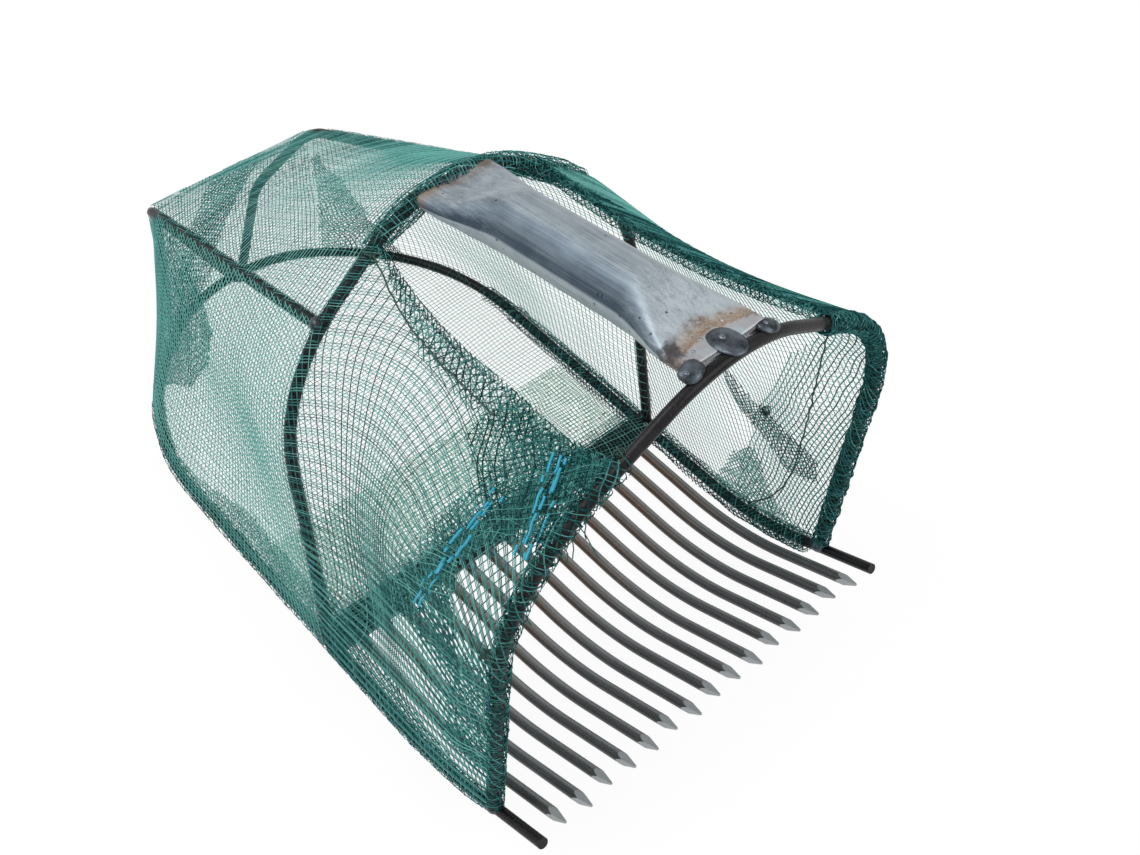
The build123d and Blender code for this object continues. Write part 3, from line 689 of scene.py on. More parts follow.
def nearFlat(grid):
    # near front panel: threads drawn together at a waist below the hem, cross lines bowed over it
    s = runs(grid, 0)
    laid = flatByLength(grid)[..., 0]
    before, after = gather["fade"]
    fromWaist = laid - gather["across"] * laid.max() - (gather["leanFrom"] - s) * gather["lean"]
    fade = smooth(s, gather["high"] - before, gather["high"] + after)
    grip = smooth(s, gather["gripFrom"], gather["low"]) * (1 - fade)
    p = laid + gather["pull"] * np.tanh(fromWaist / gather["reach"]) * grip
    q = s + 0.5 * fromWaist ** 2 / gather["arc"] * smooth(s, gather["bowFrom"], gather["bowTo"])
    return np.stack([p, q], axis=2)


farSlant = {"shear": 0.62, "dip": 0.25, "knotX": tipX - 58.0, "knotHeight": 63.0, "knotPull": 9.0, "knotReach": 8.0,
            "knotSize": 22.0}


def farFlat(grid):
    # far front panel: threads slant back, and a knot gathers them
    s = runs(grid, 0)
    x = grid[..., 0]
    aside, above = x - farSlant["knotX"], s - farSlant["knotHeight"]
    pull = farSlant["knotPull"] * np.exp(-(np.hypot(aside, above) / farSlant["knotSize"]) ** 2)
    p = x + farSlant["shear"] * s + pull * np.tanh(aside / farSlant["knotReach"])
    q = s - farSlant["dip"] * x + pull * np.tanh(above / farSlant["knotReach"])
    return np.stack([p, q], axis=2)


archDraw = {"amount": 7.0, "reach": 26.0}


def rowFlat(grid):
    # for the top: threads across along the rows, drawn apart at the arch, q out from the middle
    step = runs(grid, 0).mean(axis=1)
    step = step - archDraw["amount"] * (1 - np.exp(-step / archDraw["reach"]))
    out = runs(grid, 1)
    out -= out[:, -1:] / 2
    return np.stack([np.broadcast_to(step[:, None], out.shape), out], axis=2)


nearPattern = {"Wale Spacing": 2.9, "Band Period": 4.7, "Line Gap": 0.95, "Line Step": 0.8, "Wale Radius": 0.18,
               "Line Radius": 0.14}
farPattern = {"Wale Spacing": 2.05, "Band Period": 6.9, "Line Gap": 2.3, "Wale Radius": 0.185, "Line Radius": 0.07}
topPattern = {"Wale Spacing": 1.8, "Wale Radius": 0.17, "Band Period": 7.0, "Line Radius": 0.10}
backPattern = {"Wale Spacing": 1.55, "Wale Radius": 0.175, "Band Period": 5.1}
floorPattern = {"Wale Spacing": 1.75, "Wale Radius": 0.15, "Band Period": 6.0, "Line Gap": 2.0, "Line Radius": 0.11}
sideFlat = flatByLength(farRear)
backFlat = np.stack([backGrid[..., 1], backGrid[..., 2]], axis=2)
floorFlat = np.stack([floorGrid[..., 0].max() - floorGrid[..., 0], floorGrid[..., 1]], axis=2)
panelKinds = {
    "net_left_front": ("netLeftFront", farFront, farFlat(farFront), None, 3, farPattern, litNetMaterial),
    "net_right_front": ("netRightFront", nearFront, nearFlat(nearFront), None, 11, nearPattern, netMaterial),
    "net_left_rear": ("netLeftRear", farRear, sideFlat, (2.0, 26.0), 5, {}, brightLitNetMaterial),
    "net_right_rear": ("netRightRear", nearRear, sideFlat, (2.0, 26.0), 7, {}, brightLitNetMaterial),
    "net_top": ("netTop", topGrid, rowFlat(topGrid), (1.6, 28.0), 13, topPattern, litNetMaterial),
    "net_back": ("netBack", backGrid, backFlat, (2.0, 22.0), 17, backPattern, netMaterial),
    "net_bottom": ("netBottom", floorGrid, floorFlat, (2.0, 26.0), 19, floorPattern, litNetMaterial),
}
panels = {}
for node, (name, grid, flats, ruffle, seed, pattern, finish) in panelKinds.items():
    flats = ruffled(flats, *ruffle, seed) if ruffle else flats
    panels[node] = addPiece(netPiece(name, grid, flats, seed, pattern, finish), node)


# folded second layers

foldPattern = {"Wale Spacing": 2.8, "Band Period": 6.0, "Line Gap": 2.0, "Wobble": 1.2, "Wale Radius": 0.22,
               "Line Radius": 0.17}
closePattern = {**foldPattern, "Wale Spacing": 1.9, "Band Period": 4.8, "Line Gap": 1.6}
loosePattern = {**foldPattern, "Wale Spacing": 3.7, "Band Period": 7.2, "Line Gap": 2.4, "Wale Radius": 0.26,
                "Line Radius": 0.2}
diamondPattern = {**foldPattern, "Wale Spacing": 2.2, "Band Period": 7.0, "Line Gap": 2.3, "Wale Radius": 0.27,
                  "Line Radius": 0.10}
finePattern = {**foldPattern, "Wale Spacing": 1.7, "Band Period": 5.1, "Line Gap": 1.7, "Wale Radius": 0.16,
               "Line Radius": 0.14}
stripPattern = {**finePattern, "Wale Spacing": 1.2, "Wale Radius": 0.19}
wholeLeft, wholeRight = [(0, 0.0)], [(0, 1.0)]
# panel, left and right edges as (up, across) pairs, low and high up, offset, turn, ruffle, pattern and finish
folds = {
    "nearSkirtLayer": (
        "net_right_front", [(0.16, 0.74), (0.30, 0.76), (0.45, 0.82), (0.58, 0.90)], wholeRight, 0.16, 0.58,
        (0, -0.7, 0), 12, (4.0, 17.0), loosePattern, netMaterial),
    "nearSecondLayer": (
        "net_right_front", [(0.42, 0.47), (0.56, 0.53), (0.80, 0.66), (1.0, 0.72)],
        [(0.42, 0.84), (0.58, 0.84), (0.64, 0.79), (0.70, 0.77), (0.78, 0.82), (0.84, 1.0)], 0.42, 1.0,
        (0, -0.7, 0), 17, (5.0, 17.0), foldPattern, netMaterial),
    "nearThirdLayer": (
        "net_right_front", [(0.56, 0.60), (0.80, 0.66), (1.0, 0.76)],
        [(0.56, 0.80), (0.70, 0.75), (0.78, 0.82), (0.84, 1.0)], 0.56, 1.0,
        (0, 0.7, 0), -28, (5.0, 16.0), closePattern, netMaterial),
    "nearUpperFold": (
        "net_right_front", [(0.82, 0.78), (0.90, 0.58), (1.0, 0.62)], wholeRight, 0.82, 1.0,
        (0, -1.5, 0), 40, (4.0, 14.0), closePattern, shadedNetMaterial),
    "nearLowFold": (
        "net_right_front", wholeLeft, [(0.0, 1.0), (0.08, 0.80), (0.14, 0.50), (0.24, 0.30)], 0.0, 0.24,
        (0, 0.8, 0), 58, (4.0, 16.0), foldPattern, shadedNetMaterial),
    "nearCornerFold": (
        "net_right_rear", [(0.0, 0.80), (0.19, 0.70), (0.30, 0.62), (0.40, 0.53), (0.57, 0.45), (0.69, 0.42),
                           (0.78, 0.55), (0.90, 0.74)], wholeRight, 0.02, 0.90,
        (0, 1.0, 0), 33, (4.5, 16.0), finePattern, shadedNetMaterial),
    "nearRearLowFold": (
        "net_right_rear", wholeLeft, [(0.0, 0.72), (0.10, 0.50), (0.20, 0.24)], 0.0, 0.20,
        (0, 0.8, 0), 74, (3.5, 16.0), finePattern, shadedNetMaterial),
    "farCornerFold": (
        "net_left_rear", [(0.0, 0.78), (0.13, 0.83), (0.5, 0.90), (0.72, 0.97)], wholeRight, 0.0, 0.74,
        (0, -1.0, 0), -30, (4.5, 16.0), {**closePattern, "Wale Spacing": 1.4}, shadedNetMaterial),
    "backFold": (
        "net_back", [(0.0, 0.70), (0.45, 0.54), (1.0, 0.30)], [(0.0, 1.0), (0.45, 0.84), (1.0, 0.62)], 0.0, 1.0,
        (1.2, 0, 0), 36, (4.0, 16.0), closePattern, shadedNetMaterial),
    "farDiamondLayer": (
        "net_left_front", [(0.03, 0.50), (0.20, 0.56), (0.36, 0.60), (0.55, 0.70), (0.72, 0.86)], wholeRight,
        0.03, 0.72, (0, -0.8, 0), -15, (2.2, 16.0), diamondPattern, litNetMaterial),
    "farSlantFold": (
        "net_left_front", [(0.20, 0.76), (0.28, 0.62), (0.34, 0.50), (0.42, 0.43)],
        [(0.20, 0.92), (0.28, 0.86), (0.36, 0.66), (0.42, 0.48)], 0.20, 0.42,
        (0, -1.2, 0), 30, (3.0, 12.0), {**closePattern, "Wale Spacing": 1.5}, shadedNetMaterial),
    "farLowFold": (
        "net_left_front", [(0.0, 0.38), (0.08, 0.44), (0.16, 0.50), (0.22, 0.58)],
        [(0.0, 0.98), (0.08, 0.72), (0.16, 0.66), (0.22, 0.62)], 0.0, 0.22,
        (0, -1.1, 0), 50, (3.0, 12.0), closePattern, litNetMaterial),
    "floorFold": (
        "net_bottom", [(0, 0.02)], [(0, 0.98)], 0.0, 0.21, (0, 0, 0.7), 8, (3.0, 18.0), stripPattern, stripLitMaterial),
}
foldSeed = 23
foldMesh = {"columns": 44, "rows": 56, "sway": 0.006, "waves": 31, "fineSway": 0.004, "fineWaves": 77, "rim": 0.03}


def edgeShare(pairs, up):
    return float(np.interp(up, [pair[0] for pair in pairs], [pair[1] for pair in pairs]))


def patchOn(grid, leftEdge, rightEdge, lowUp, highUp, offset):
    # a second layer over part of a panel; edges inside the panel are ragged
    rows, columns = foldMesh["rows"], foldMesh["columns"]
    points = np.zeros((rows, columns, 3))
    flats = np.zeros((rows, columns, 2))
    lengths = flatByLength(grid)
    for r in range(rows):
        up = lowUp + (highUp - lowUp) * r / (rows - 1)
        ragged = foldMesh["sway"] * math.sin(foldMesh["waves"] * up + lowUp)
        ragged += foldMesh["fineSway"] * math.sin(foldMesh["fineWaves"] * up)
        left, right = edgeShare(leftEdge, up), edgeShare(rightEdge, up)
        left += ragged if left > foldMesh["rim"] else 0.0
        right += ragged if right < 1 - foldMesh["rim"] else 0.0
        for c in range(columns):
            across = left + (right - left) * c / (columns - 1)
            points[r, c] = onGrid(grid, across, up) + offset
            flats[r, c] = onGrid(lengths, across, up)
    return points, flats


foldSheets = {}
for number, (name, fold) in enumerate(folds.items()):
    node, leftEdge, rightEdge, lowUp, highUp, offset, degrees, ruffle, pattern, finish = fold
    points, flats = patchOn(panelKinds[node][1], leftEdge, rightEdge, lowUp, highUp, np.array(offset))
    size = [float(np.ptp(flats[..., axis])) for axis in (0, 1)]
    flats = ruffled(turned(flats, degrees), *ruffle, foldSeed + number)
    piece = addPiece(netPiece(name, points, flats, foldSeed + number, pattern, finish))
    foldSheets[name] = (piece, points, [panels[node]], (), size)


# net wrapped round the rods

wrapLumps = {"lengthwise": 0.09, "around": 0.7}


def wrapGrid(path, start, end, reference, radius, swell, seed, step=2.0, around=16):
    lengths = np.linspace(start, end, max(int((end - start) / step), 4))
    angles = np.linspace(0, 2 * math.pi, around + 1)
    points = np.zeros((len(lengths), around + 1, 3))
    flats = np.zeros((len(lengths), around + 1, 2))
    for r, length in enumerate(lengths):
        heading = direction(path, length)
        side = reference - (reference @ heading) * heading
        side /= np.linalg.norm(side)
        other = np.cross(heading, side)
        for c, angle in enumerate(angles):
            outward = side * math.cos(angle) + other * math.sin(angle)
            spot = Vector((length * wrapLumps["lengthwise"] + seed, math.cos(angle) * wrapLumps["around"],
                           math.sin(angle) * wrapLumps["around"]))
            reach = radius + swell * (0.5 + 0.5 * noise.noise(spot))
            points[r, c] = along(path, length) + outward * reach
            flats[r, c] = (length, angle * radius)
    return points, flats


def rodLine(start, end):
    return traced(np.linspace(start, end, 40))


upward = np.array((0.0, 0.0, 1.0))
ahead = np.array((1.0, 0.0, 0.0))
loopEnd = loopAxis["length"]
archEnd = middleAxis["length"]
farStay = rodLine(stayShoulder, stayCorner)
nearStay = rodLine(stayShoulder * mirror, stayCorner * mirror)
stayEnd = farStay["length"] - 12.0
wrapPattern = {"Band Period": 5.0, "Line Gap": 1.3, "Wobble": 1.4, "Wale Radius": 0.2, "Line Radius": 0.13}
thinWrap = {**wrapPattern, "Band Period": 12.0, "Wale Radius": 0.11, "Line Radius": 0.04, "Wobble": 0.7}
wrapRuffle = (1.6, 14.0)
# path, start, end, side direction, radius, swell, seed, turn, spacing, pattern and finish
wraps = {
    "farStayWrap": (farStay, 4.0, stayEnd, upward, 2.2, 0.3, 61, 12, 2.2, thinWrap, shadedNetMaterial),
    "nearStayWrap": (nearStay, 4.0, stayEnd, upward, 2.2, 0.3, 63, -12, 2.2, thinWrap, shadedNetMaterial),
    "farLegWrap": (middleAxis, 8.0, archEnd * 0.35, ahead, 2.2, 0.4, 65, 22, 4.0, thinWrap, litNetMaterial),
    "nearLegWrap": (middleAxis, archEnd * 0.59, archEnd - 8.0, ahead, 2.2, 0.4, 69, -22, 2.2, thinWrap, netMaterial),
    "farLoopWrap": (loopAxis, 30.0, 222.0, upward, 2.45, 1.5, 31, 58, 1.3, wrapPattern, shadedNetMaterial),
    "farLoopOverWrap": (loopAxis, 31.0, 205.0, upward, 2.9, 2.6, 37, -40, 1.6, wrapPattern, shadedNetMaterial),
    "rearLoopWrap": (loopAxis, 200.0, loopEnd * 0.66, upward, 2.2, 0.5, 35, 20, 2.4, thinWrap, netMaterial),
    "nearLoopWrap": (
        loopAxis, loopEnd * 0.62, loopEnd - 30.0, upward, 2.3, 0.8, 33, 60, 3.4, wrapPattern, shadedNetMaterial),
    "archTopWrap": (
        middleAxis, archEnd * 0.36, archEnd * 0.585, ahead, 2.6, 1.4, 41, 76, 1.4, wrapPattern, shadedNetMaterial),
    "archTopOverWrap": (
        middleAxis, archEnd * 0.35, archEnd * 0.575, ahead, 2.9, 2.6, 43, -80, 1.7, wrapPattern, netMaterial),
}
wrapPieces = {}
for name, (path, start, end, reference, radius, swell, seed, degrees, spacing, kind, finish) in wraps.items():
    points, flats = wrapGrid(path, start, end, reference, radius, swell, seed)
    flats = ruffled(turned(flats, degrees), *wrapRuffle, seed)
    wrapPieces[name] = addPiece(
        netPiece(name, points, flats, seed, {**kind, "Wale Spacing": spacing}, finish))


barCover = {"reach": 8.0, "skin": 0.5, "seed": 71, "turn": 12, "ruffle": (1.4, 12.0), "inset": 3.0, "columns": 70}


def makeBarCover():
    # the front edge of the bottom net, drawn up over the bar
    low, high = (np.array(corner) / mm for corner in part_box("tine_bar"))
    skin, seed = barCover["skin"], barCover["seed"]
    outline = [(low[0] - barCover["reach"], floorRod + 0.3), (low[0] - 3.0, floorRod + 0.8),
               (low[0] - skin, high[2] - 0.5), (low[0] + 0.6, high[2] + skin), (low[0] + 4.0, high[2] + skin + 0.3),
               (high[0] - 3.0, high[2] + skin + 0.2), (high[0] - 0.8, high[2] + skin)]
    across = np.linspace(low[1] + barCover["inset"], high[1] - barCover["inset"], barCover["columns"])
    points = np.array([[(x, y, z) for x, z in outline] for y in across])
    flats = np.stack([points[..., 1], flatByLength(points)[..., 0]], axis=2)
    flats = ruffled(turned(flats, barCover["turn"]), *barCover["ruffle"], seed)
    return addPiece(netPiece("barCover", points, flats, seed, finePattern, netMaterial)), points


barPiece, barGrid = makeBarCover()


# bindings: a net sleeve under rings of thread, each tipped a little its own way

def makeOvercastTree():
    graph, given, out = newTree("overcastAlong", "GeometryNodeTree", {
        "Geometry": "Geometry", "Spacing": 0.0013, "Ring Radius": 0.003, "Thread Radius": 0.0002, "Tilt": 0.5,
        "Seed": 0, "Material": "Material"}, {"Geometry": "Geometry"})

    def randomValue(low, high, shift):
        return graph.add("FunctionNodeRandomValue", {
            "Min": low, "Max": high, "Seed": graph.plus(given["Seed"], shift)}, data_type="FLOAT")

    curve = graph.add("GeometryNodeMeshToCurve", {"Mesh": given["Geometry"]})
    points = graph.add("GeometryNodeCurveToPoints", {"Curve": curve, "Length": given["Spacing"]}, mode="LENGTH")
    low = graph.times(given["Tilt"], -1.0)
    tip = graph.spot(randomValue(low, given["Tilt"], 0.0), randomValue(low, given["Tilt"], 1.0))
    facing = graph.add("FunctionNodeRotateRotation", {
        "Rotation": points.outputs["Rotation"], "Rotate By": tip}, rotation_space="LOCAL")
    ring = graph.add("GeometryNodeCurvePrimitiveCircle", {"Resolution": 14, "Radius": given["Ring Radius"]})
    placed = graph.add("GeometryNodeInstanceOnPoints", {
        "Points": points, "Instance": graph.tube(ring, given["Thread Radius"], 4), "Rotation": facing,
        "Scale": randomValue(0.92, 1.22, 2.0)})
    return graph.finish(placed, given["Material"], out)


overcastTree = makeOvercastTree()
bindings = {"start": 3.0, "radius": 2.45, "swell": 1.2, "turn": 62, "ruffle": (1.6, 12.0),
            "left": {"sleeve": 1.2, "rings": 1.3, "ring": 2.9, "tilt": 0.55, "thread": 0.22, "seed": 47},
            "right": {"sleeve": 2.6, "rings": 3.2, "ring": 2.5, "tilt": 0.5, "thread": 0.2, "seed": 53}}
nearArch = mirrored(frontAxis)
nearMiddle = mirrored(middleAxis)


def lineObject(name, lines):
    points = []
    edges = []
    for line in lines:
        edges += [(len(points) + k, len(points) + k + 1) for k in range(len(line) - 1)]
        points += [point * mm for point in line]
    return meshObject(name, points, [], edges)


def makeBinding(side):
    path = frontAxis if side == "left" else nearArch
    own = bindings[side]
    start, end, seed = bindings["start"], frontAxis["length"] / 2 * hems["frontShare"] + 1.0, own["seed"]
    points, flats = wrapGrid(path, start, end, ahead, bindings["radius"], bindings["swell"], seed)
    flats = ruffled(turned(flats, bindings["turn"]), *bindings["ruffle"], seed)
    pattern = {**wrapPattern, "Wale Spacing": own["sleeve"]}
    sleeve = netPiece(side + "Sleeve", points, flats, seed, pattern, shadedNetMaterial)
    stops = np.linspace(start, end, int(end - start))
    source = lineObject(side + "OvercastPath", [[along(path, length) for length in stops]])
    rings = meshFromTree(side + "Overcast", source, overcastTree, {
        "Spacing": own["rings"] * mm, "Ring Radius": own["ring"] * mm, "Tilt": own["tilt"],
        "Thread Radius": own["thread"] * mm, "Seed": seed, "Material": netMaterial})
    return [addPiece(sleeve, side + "_binding"), addPiece(rings)]


bindingPieces = {side: makeBinding(side) for side in ("left", "right")}
print("wraps and bindings made")


# hems along the free tops of the front panels

denseHem = {**closePattern, "Wale Spacing": 1.4, "Wale Radius": 0.26, "Line Radius": 0.2}
hemFold = {"gap": 0.6, "end": 0.5, "spacing": 1.3, "turn": 50, "rollRuffle": (1.6, 12.0), "layerRuffle": (2.6, 16.0),
           "layerTurns": (35, -25), "narrow": 0.15, "narrowTo": 0.40, "around": 12,
           "left": {"roll": 1.6, "swell": 1.5, "width": 0.14, "seed": 59, "line": farHem, "panel": farFront, "lean": 1,
                    "kind": denseHem, "finishes": (shadedNetMaterial, shadedNetMaterial)},
           "right": {"roll": 0.8, "swell": 0.9, "width": 0.052, "seed": 67, "line": nearHem, "panel": nearFront,
                     "lean": -1, "kind": foldPattern, "finishes": (shadedNetMaterial, netMaterial)}}


def makeHem(side):
    own = hemFold[side]
    seed = own["seed"]
    path = traced([own["line"](share) * np.array((1, own["lean"], 1)) for share in np.linspace(0, 1, 60)])
    points, flats = wrapGrid(path, hemFold["end"], path["length"] - hemFold["end"], upward, own["roll"],
                             own["swell"], seed, around=hemFold["around"])
    flats = ruffled(turned(flats, hemFold["turn"]), *hemFold["rollRuffle"], seed)
    pattern = {**wrapPattern, "Wale Spacing": hemFold["spacing"]}
    roll = netPiece(side + "HemRoll", points, flats, seed, pattern, shadedNetMaterial)
    layers = [addPiece(roll, side + "_hem")]
    shares = np.linspace(0.01, 1, 60)
    parts = hemFold["narrow"] + (1 - hemFold["narrow"]) * smooth(shares, 0.0, hemFold["narrowTo"])
    for layer, degrees, finish in zip((1, 2), hemFold["layerTurns"], own["finishes"]):
        offset = np.array((0, own["lean"] * hemFold["gap"] * (1.5 - layer) * 2, 0.2))
        deep = own["width"] * layer ** 0.5
        strip = np.array([[onGrid(own["panel"], share, 1 - deep * part * (1 - up)) + offset
                           for share, part in zip(shares, parts)] for up in np.linspace(0, 1, 10)])
        flat = turned(np.stack([strip[..., 0], runs(strip, 0)], axis=2), degrees)
        flat = ruffled(flat, *hemFold["layerRuffle"], seed + layer)
        piece = netPiece(side + "HemLayer" + str(layer), strip, flat, seed + layer, own["kind"], finish)
        layers.append(addPiece(piece))
    return layers


hemPieces = {side: makeHem(side) for side in ("left", "right")}
print("hems made")


# handle: a galvanised tube, flattened at both ends

handle = {"radius": 10.65, "flatThick": 2.5, "endGap": 2.8, "rearFlat": 3.0, "rearTaper": 32.0, "frontFlat": 8.0,
          "frontTaper": 26.0, "wall": 1.8, "slitDepth": 7.0, "valley": 0.5, "valleyReach": 8.0,
          "rings": 150, "around": 120}
middleTop = along(middleAxis, middleAxis["length"] / 2)
frontTop = along(frontAxis, frontAxis["length"] / 2)
handleSpan = float(np.linalg.norm(frontTop - middleTop))
handleLine = (frontTop - middleTop) / np.linalg.norm(frontTop - middleTop)
handleUp = np.array((-handleLine[2], 0.0, handleLine[0]))
handleStart = middleTop + handleLine * handle["endGap"]
handleLength = handleSpan - 2 * handle["endGap"]
# length and side of each dent, its reach both ways and its depth
dents = [(handleLength - 9.5, -12.6, 1.2, 4.6, 1.1), (handleLength - 13.5, -9.0, 1.6, 1.6, 0.5),
         (handleLength - 5.0, -10.5, 2.2, 1.8, 0.7), (24.0, 4.0, 5.0, 4.0, 0.5), (64.0, -6.0, 6.0, 3.0, 0.35)]


def flatness(length):
    rear = 1 - smooth(length, handle["rearFlat"], handle["rearFlat"] + handle["rearTaper"])
    front = 1 - smooth(handleLength - length, handle["frontFlat"], handle["frontFlat"] + handle["frontTaper"])
    return float(max(rear, front))


def handlePoint(length, share, inset):
    # a flattened tube keeps its girth: half circles at both sides and straight runs between them
    flat = flatness(length)
    curve = handle["radius"] + (handle["flatThick"] - handle["radius"]) * flat
    run = (handle["radius"] - curve) * math.pi / 2
    arc = math.pi * curve
    spot = (share % 1.0) * (2 * arc + 4 * run)
    if spot < arc:
        angle = spot / curve - math.pi / 2
        y, z = run + math.cos(angle) * (curve - inset), math.sin(angle) * (curve - inset)
    elif spot < arc + 2 * run:
        y, z = run - (spot - arc), curve - inset
    elif spot < 2 * arc + 2 * run:
        angle = (spot - arc - 2 * run) / curve + math.pi / 2
        y, z = -run + math.cos(angle) * (curve - inset), math.sin(angle) * (curve - inset)
    else:
        y, z = -run + (spot - 2 * arc - 2 * run), inset - curve
    z -= math.copysign(handle["valley"], z) * flat * math.exp(-(y / handle["valleyReach"]) ** 2)
    for dentLength, dentSide, reachLength, reachSide, depth in dents:
        if z > 0:
            z -= depth * math.exp(-((length - dentLength) / reachLength) ** 2 - ((y - dentSide) / reachSide) ** 2)
    return handleStart + handleLine * length + np.array((0, y, 0)) + handleUp * z


def makeHandle():
    # outer rings, with an inner ring at each end and another down each slit
    wall, slit, around = handle["wall"], handle["slitDepth"], handle["around"]
    stops = [(slit, wall), (0.0, wall)] + [(length, 0.0) for length in np.linspace(0, handleLength, handle["rings"])]
    stops += [(handleLength, wall), (handleLength - slit, wall)]
    points = [handlePoint(length, share, inset) * mm
              for length, inset in stops for share in np.linspace(0, 1, around + 1)[:-1]]
    faces = [(r * around + c, r * around + (c + 1) % around, (r + 1) * around + (c + 1) % around, (r + 1) * around + c)
             for r in range(len(stops) - 1) for c in range(around)]
    faces.append(tuple(reversed(range(around))))
    faces.append(tuple((len(stops) - 1) * around + c for c in range(around)))
    piece = meshObject("handleTube", points, faces)
    shadeSmooth(piece.data)
    made = bmesh.new()
    made.from_mesh(piece.data)
    bmesh.ops.recalc_face_normals(made, faces=made.faces)
    made.to_mesh(piece.data)
    made.free()
    return piece


zinc = {"dark": (0.048, 0.072, 0.100), "mid": (0.165, 0.208, 0.245), "light": (0.450, 0.505, 0.540),
        "tan": (0.225, 0.140, 0.070), "brown": (0.080, 0.046, 0.026), "halo": (0.400, 0.385, 0.400),
        "darkMark": (0.026, 0.024, 0.034), "pressFrom": 34.0, "pressTo": 16.0, "ragged": 0.012,
        "weldBack": 4.0, "weldStretch": (1.0, 0.55, 1.0), "scorchReach": 0.024, "creaseBack": 9.0,
        "creaseSide": -12.0, "creaseUp": 2.0, "creaseReach": (0.0035, 0.0018), "rearReach": (0.006, 0.0005),
        "paintedShadeBands": [(0.0, 0.72), (0.34, 0.66), (0.45, 0.50), (0.53, 0.30), (0.59, 0.34), (0.65, 0.14), (0.715, 0.08),
                  (0.745, 0.82), (0.96, 0.60)],
        "ring": [(0.22, 0.0), (0.29, 1.0), (0.42, 0.90), (0.54, 0.0)],
        "haloRing": [(0.14, 0.2), (0.20, 0.9), (0.25, 0.6), (0.31, 0.0)]}


def makeZincMaterial():
    made, graph, shader, place = newMaterial("galvanisedTube")
    tilt = math.atan2(handleLine[2], handleLine[0])
    lined = graph.add("ShaderNodeMapping", {"Vector": place, "Rotation": (0.0, tilt, 0.0)})
    streaked = graph.add("ShaderNodeMapping", {"Vector": lined, "Scale": (0.014, 1.0, 1.0)})
    streaks = wear(graph, streaked, 620.0, 3400.0)
    marks = wear(graph, place, 130.0, 1500.0, 190.0, 0.085)
    blotch, grain = marks["Blotch"], marks["Grain"]
    # painted shade and highlight in grey bands round the tube, set by which way each face turns, streaks along it, and
    # a painted highlight where it is pressed flat
    normal = graph.add("ShaderNodeNewGeometry").outputs["Normal"]
    nearSide = graph.vector("DOT_PRODUCT", normal, (0.0, -1.0, 0.0))
    topSide = graph.vector("DOT_PRODUCT", normal, tuple(handleUp))
    around = graph.remap(graph.calc("ARCTAN2", nearSide, topSide), math.radians(-60), math.radians(140))
    # band: painted shade and highlight, set by the way the surface faces
    band = graph.ramp(around, zinc["paintedShadeBands"])
    drawn = graph.plus(graph.times(streaks["Blotch"], 0.40), graph.times(streaks["Grain"], 0.35))
    mixed = graph.plus(drawn, graph.times(blotch, 0.25))
    fromStart = graph.vector("SUBTRACT", place, tuple(handleStart * mm))
    fromRear = graph.vector("DOT_PRODUCT", fromStart, tuple(handleLine))
    pressFrom, pressTo = ((handleLength - zinc[key]) * mm for key in ("pressFrom", "pressTo"))
    # painted highlight: lighter over the flattened front end
    pressedHighlight = graph.remap(fromRear, pressFrom, pressTo, 0.0, 0.20)
    shade = graph.plus(graph.plus(graph.remap(mixed, 0.38, 0.62, -0.19, 0.19), band), pressedHighlight)
    base = graph.ramp(shade, [(0.05, zinc["dark"]), (0.45, zinc["mid"]), (0.90, zinc["light"])])
    pitted = graph.mix(graph.times(marks["Pits"], 0.8), base, zinc["darkMark"])
    # a scorched ring and a pale halo round the front welds
    weldSpot = tuple((frontTop - handleLine * zinc["weldBack"]) * mm)
    ragged = graph.times(graph.minus(blotch, 0.5), zinc["ragged"])
    reach = graph.vector("MULTIPLY", graph.vector("SUBTRACT", place, weldSpot), zinc["weldStretch"])
    away = graph.remap(graph.plus(graph.vector("LENGTH", reach), ragged), 0.0, zinc["scorchReach"])
    scorch = graph.mix(graph.remap(blotch, 0.40, 0.60), zinc["brown"], zinc["tan"])
    tint = graph.times(graph.ramp(away, zinc["ring"]), graph.remap(grain, 0.35, 0.60, 0.62, 1.0))
    haloed = graph.mix(graph.ramp(away, zinc["haloRing"]), graph.mix(tint, pitted, scorch), zinc["halo"])
    # darker in the front crease, and scorching at the rear end
    creaseSpot = handleStart + handleLine * (handleLength - zinc["creaseBack"])
    creaseSpot = creaseSpot + np.array((0, zinc["creaseSide"], 0)) + handleUp * zinc["creaseUp"]
    crease = graph.plus(graph.vector("DISTANCE", place, tuple(creaseSpot * mm)), ragged)
    creaseDarkened = graph.mix(graph.remap(crease, *zinc["creaseReach"], 0.0, 0.85), haloed, zinc["darkMark"])
    rearShare = graph.remap(graph.plus(fromRear, ragged), *zinc["rearReach"], 0.0, 0.85)
    graph.fill(shader, {
        "Base Color": graph.mix(rearShare, creaseDarkened, scorch), "Roughness": graph.remap(mixed, 0.3, 0.6, 0.34, 0.54),
        "Metallic": graph.remap(graph.calc("MAXIMUM", tint, rearShare), 0.0, 1.0, 0.75, 0.10),
        "Normal": graph.bump(graph.plus(streaks["Grain"], grain), 0.18, 0.0002)})
    return made


handlePiece = makeHandle()
handlePiece.data.materials.append(makeZincMaterial())
addPiece(handlePiece, "handle_tube")
print("handle made")


# welds

weldFinish = {"dark": (0.024, 0.029, 0.036), "light": (0.125, 0.150, 0.175), "glintColour": (0.62, 0.64, 0.66)}


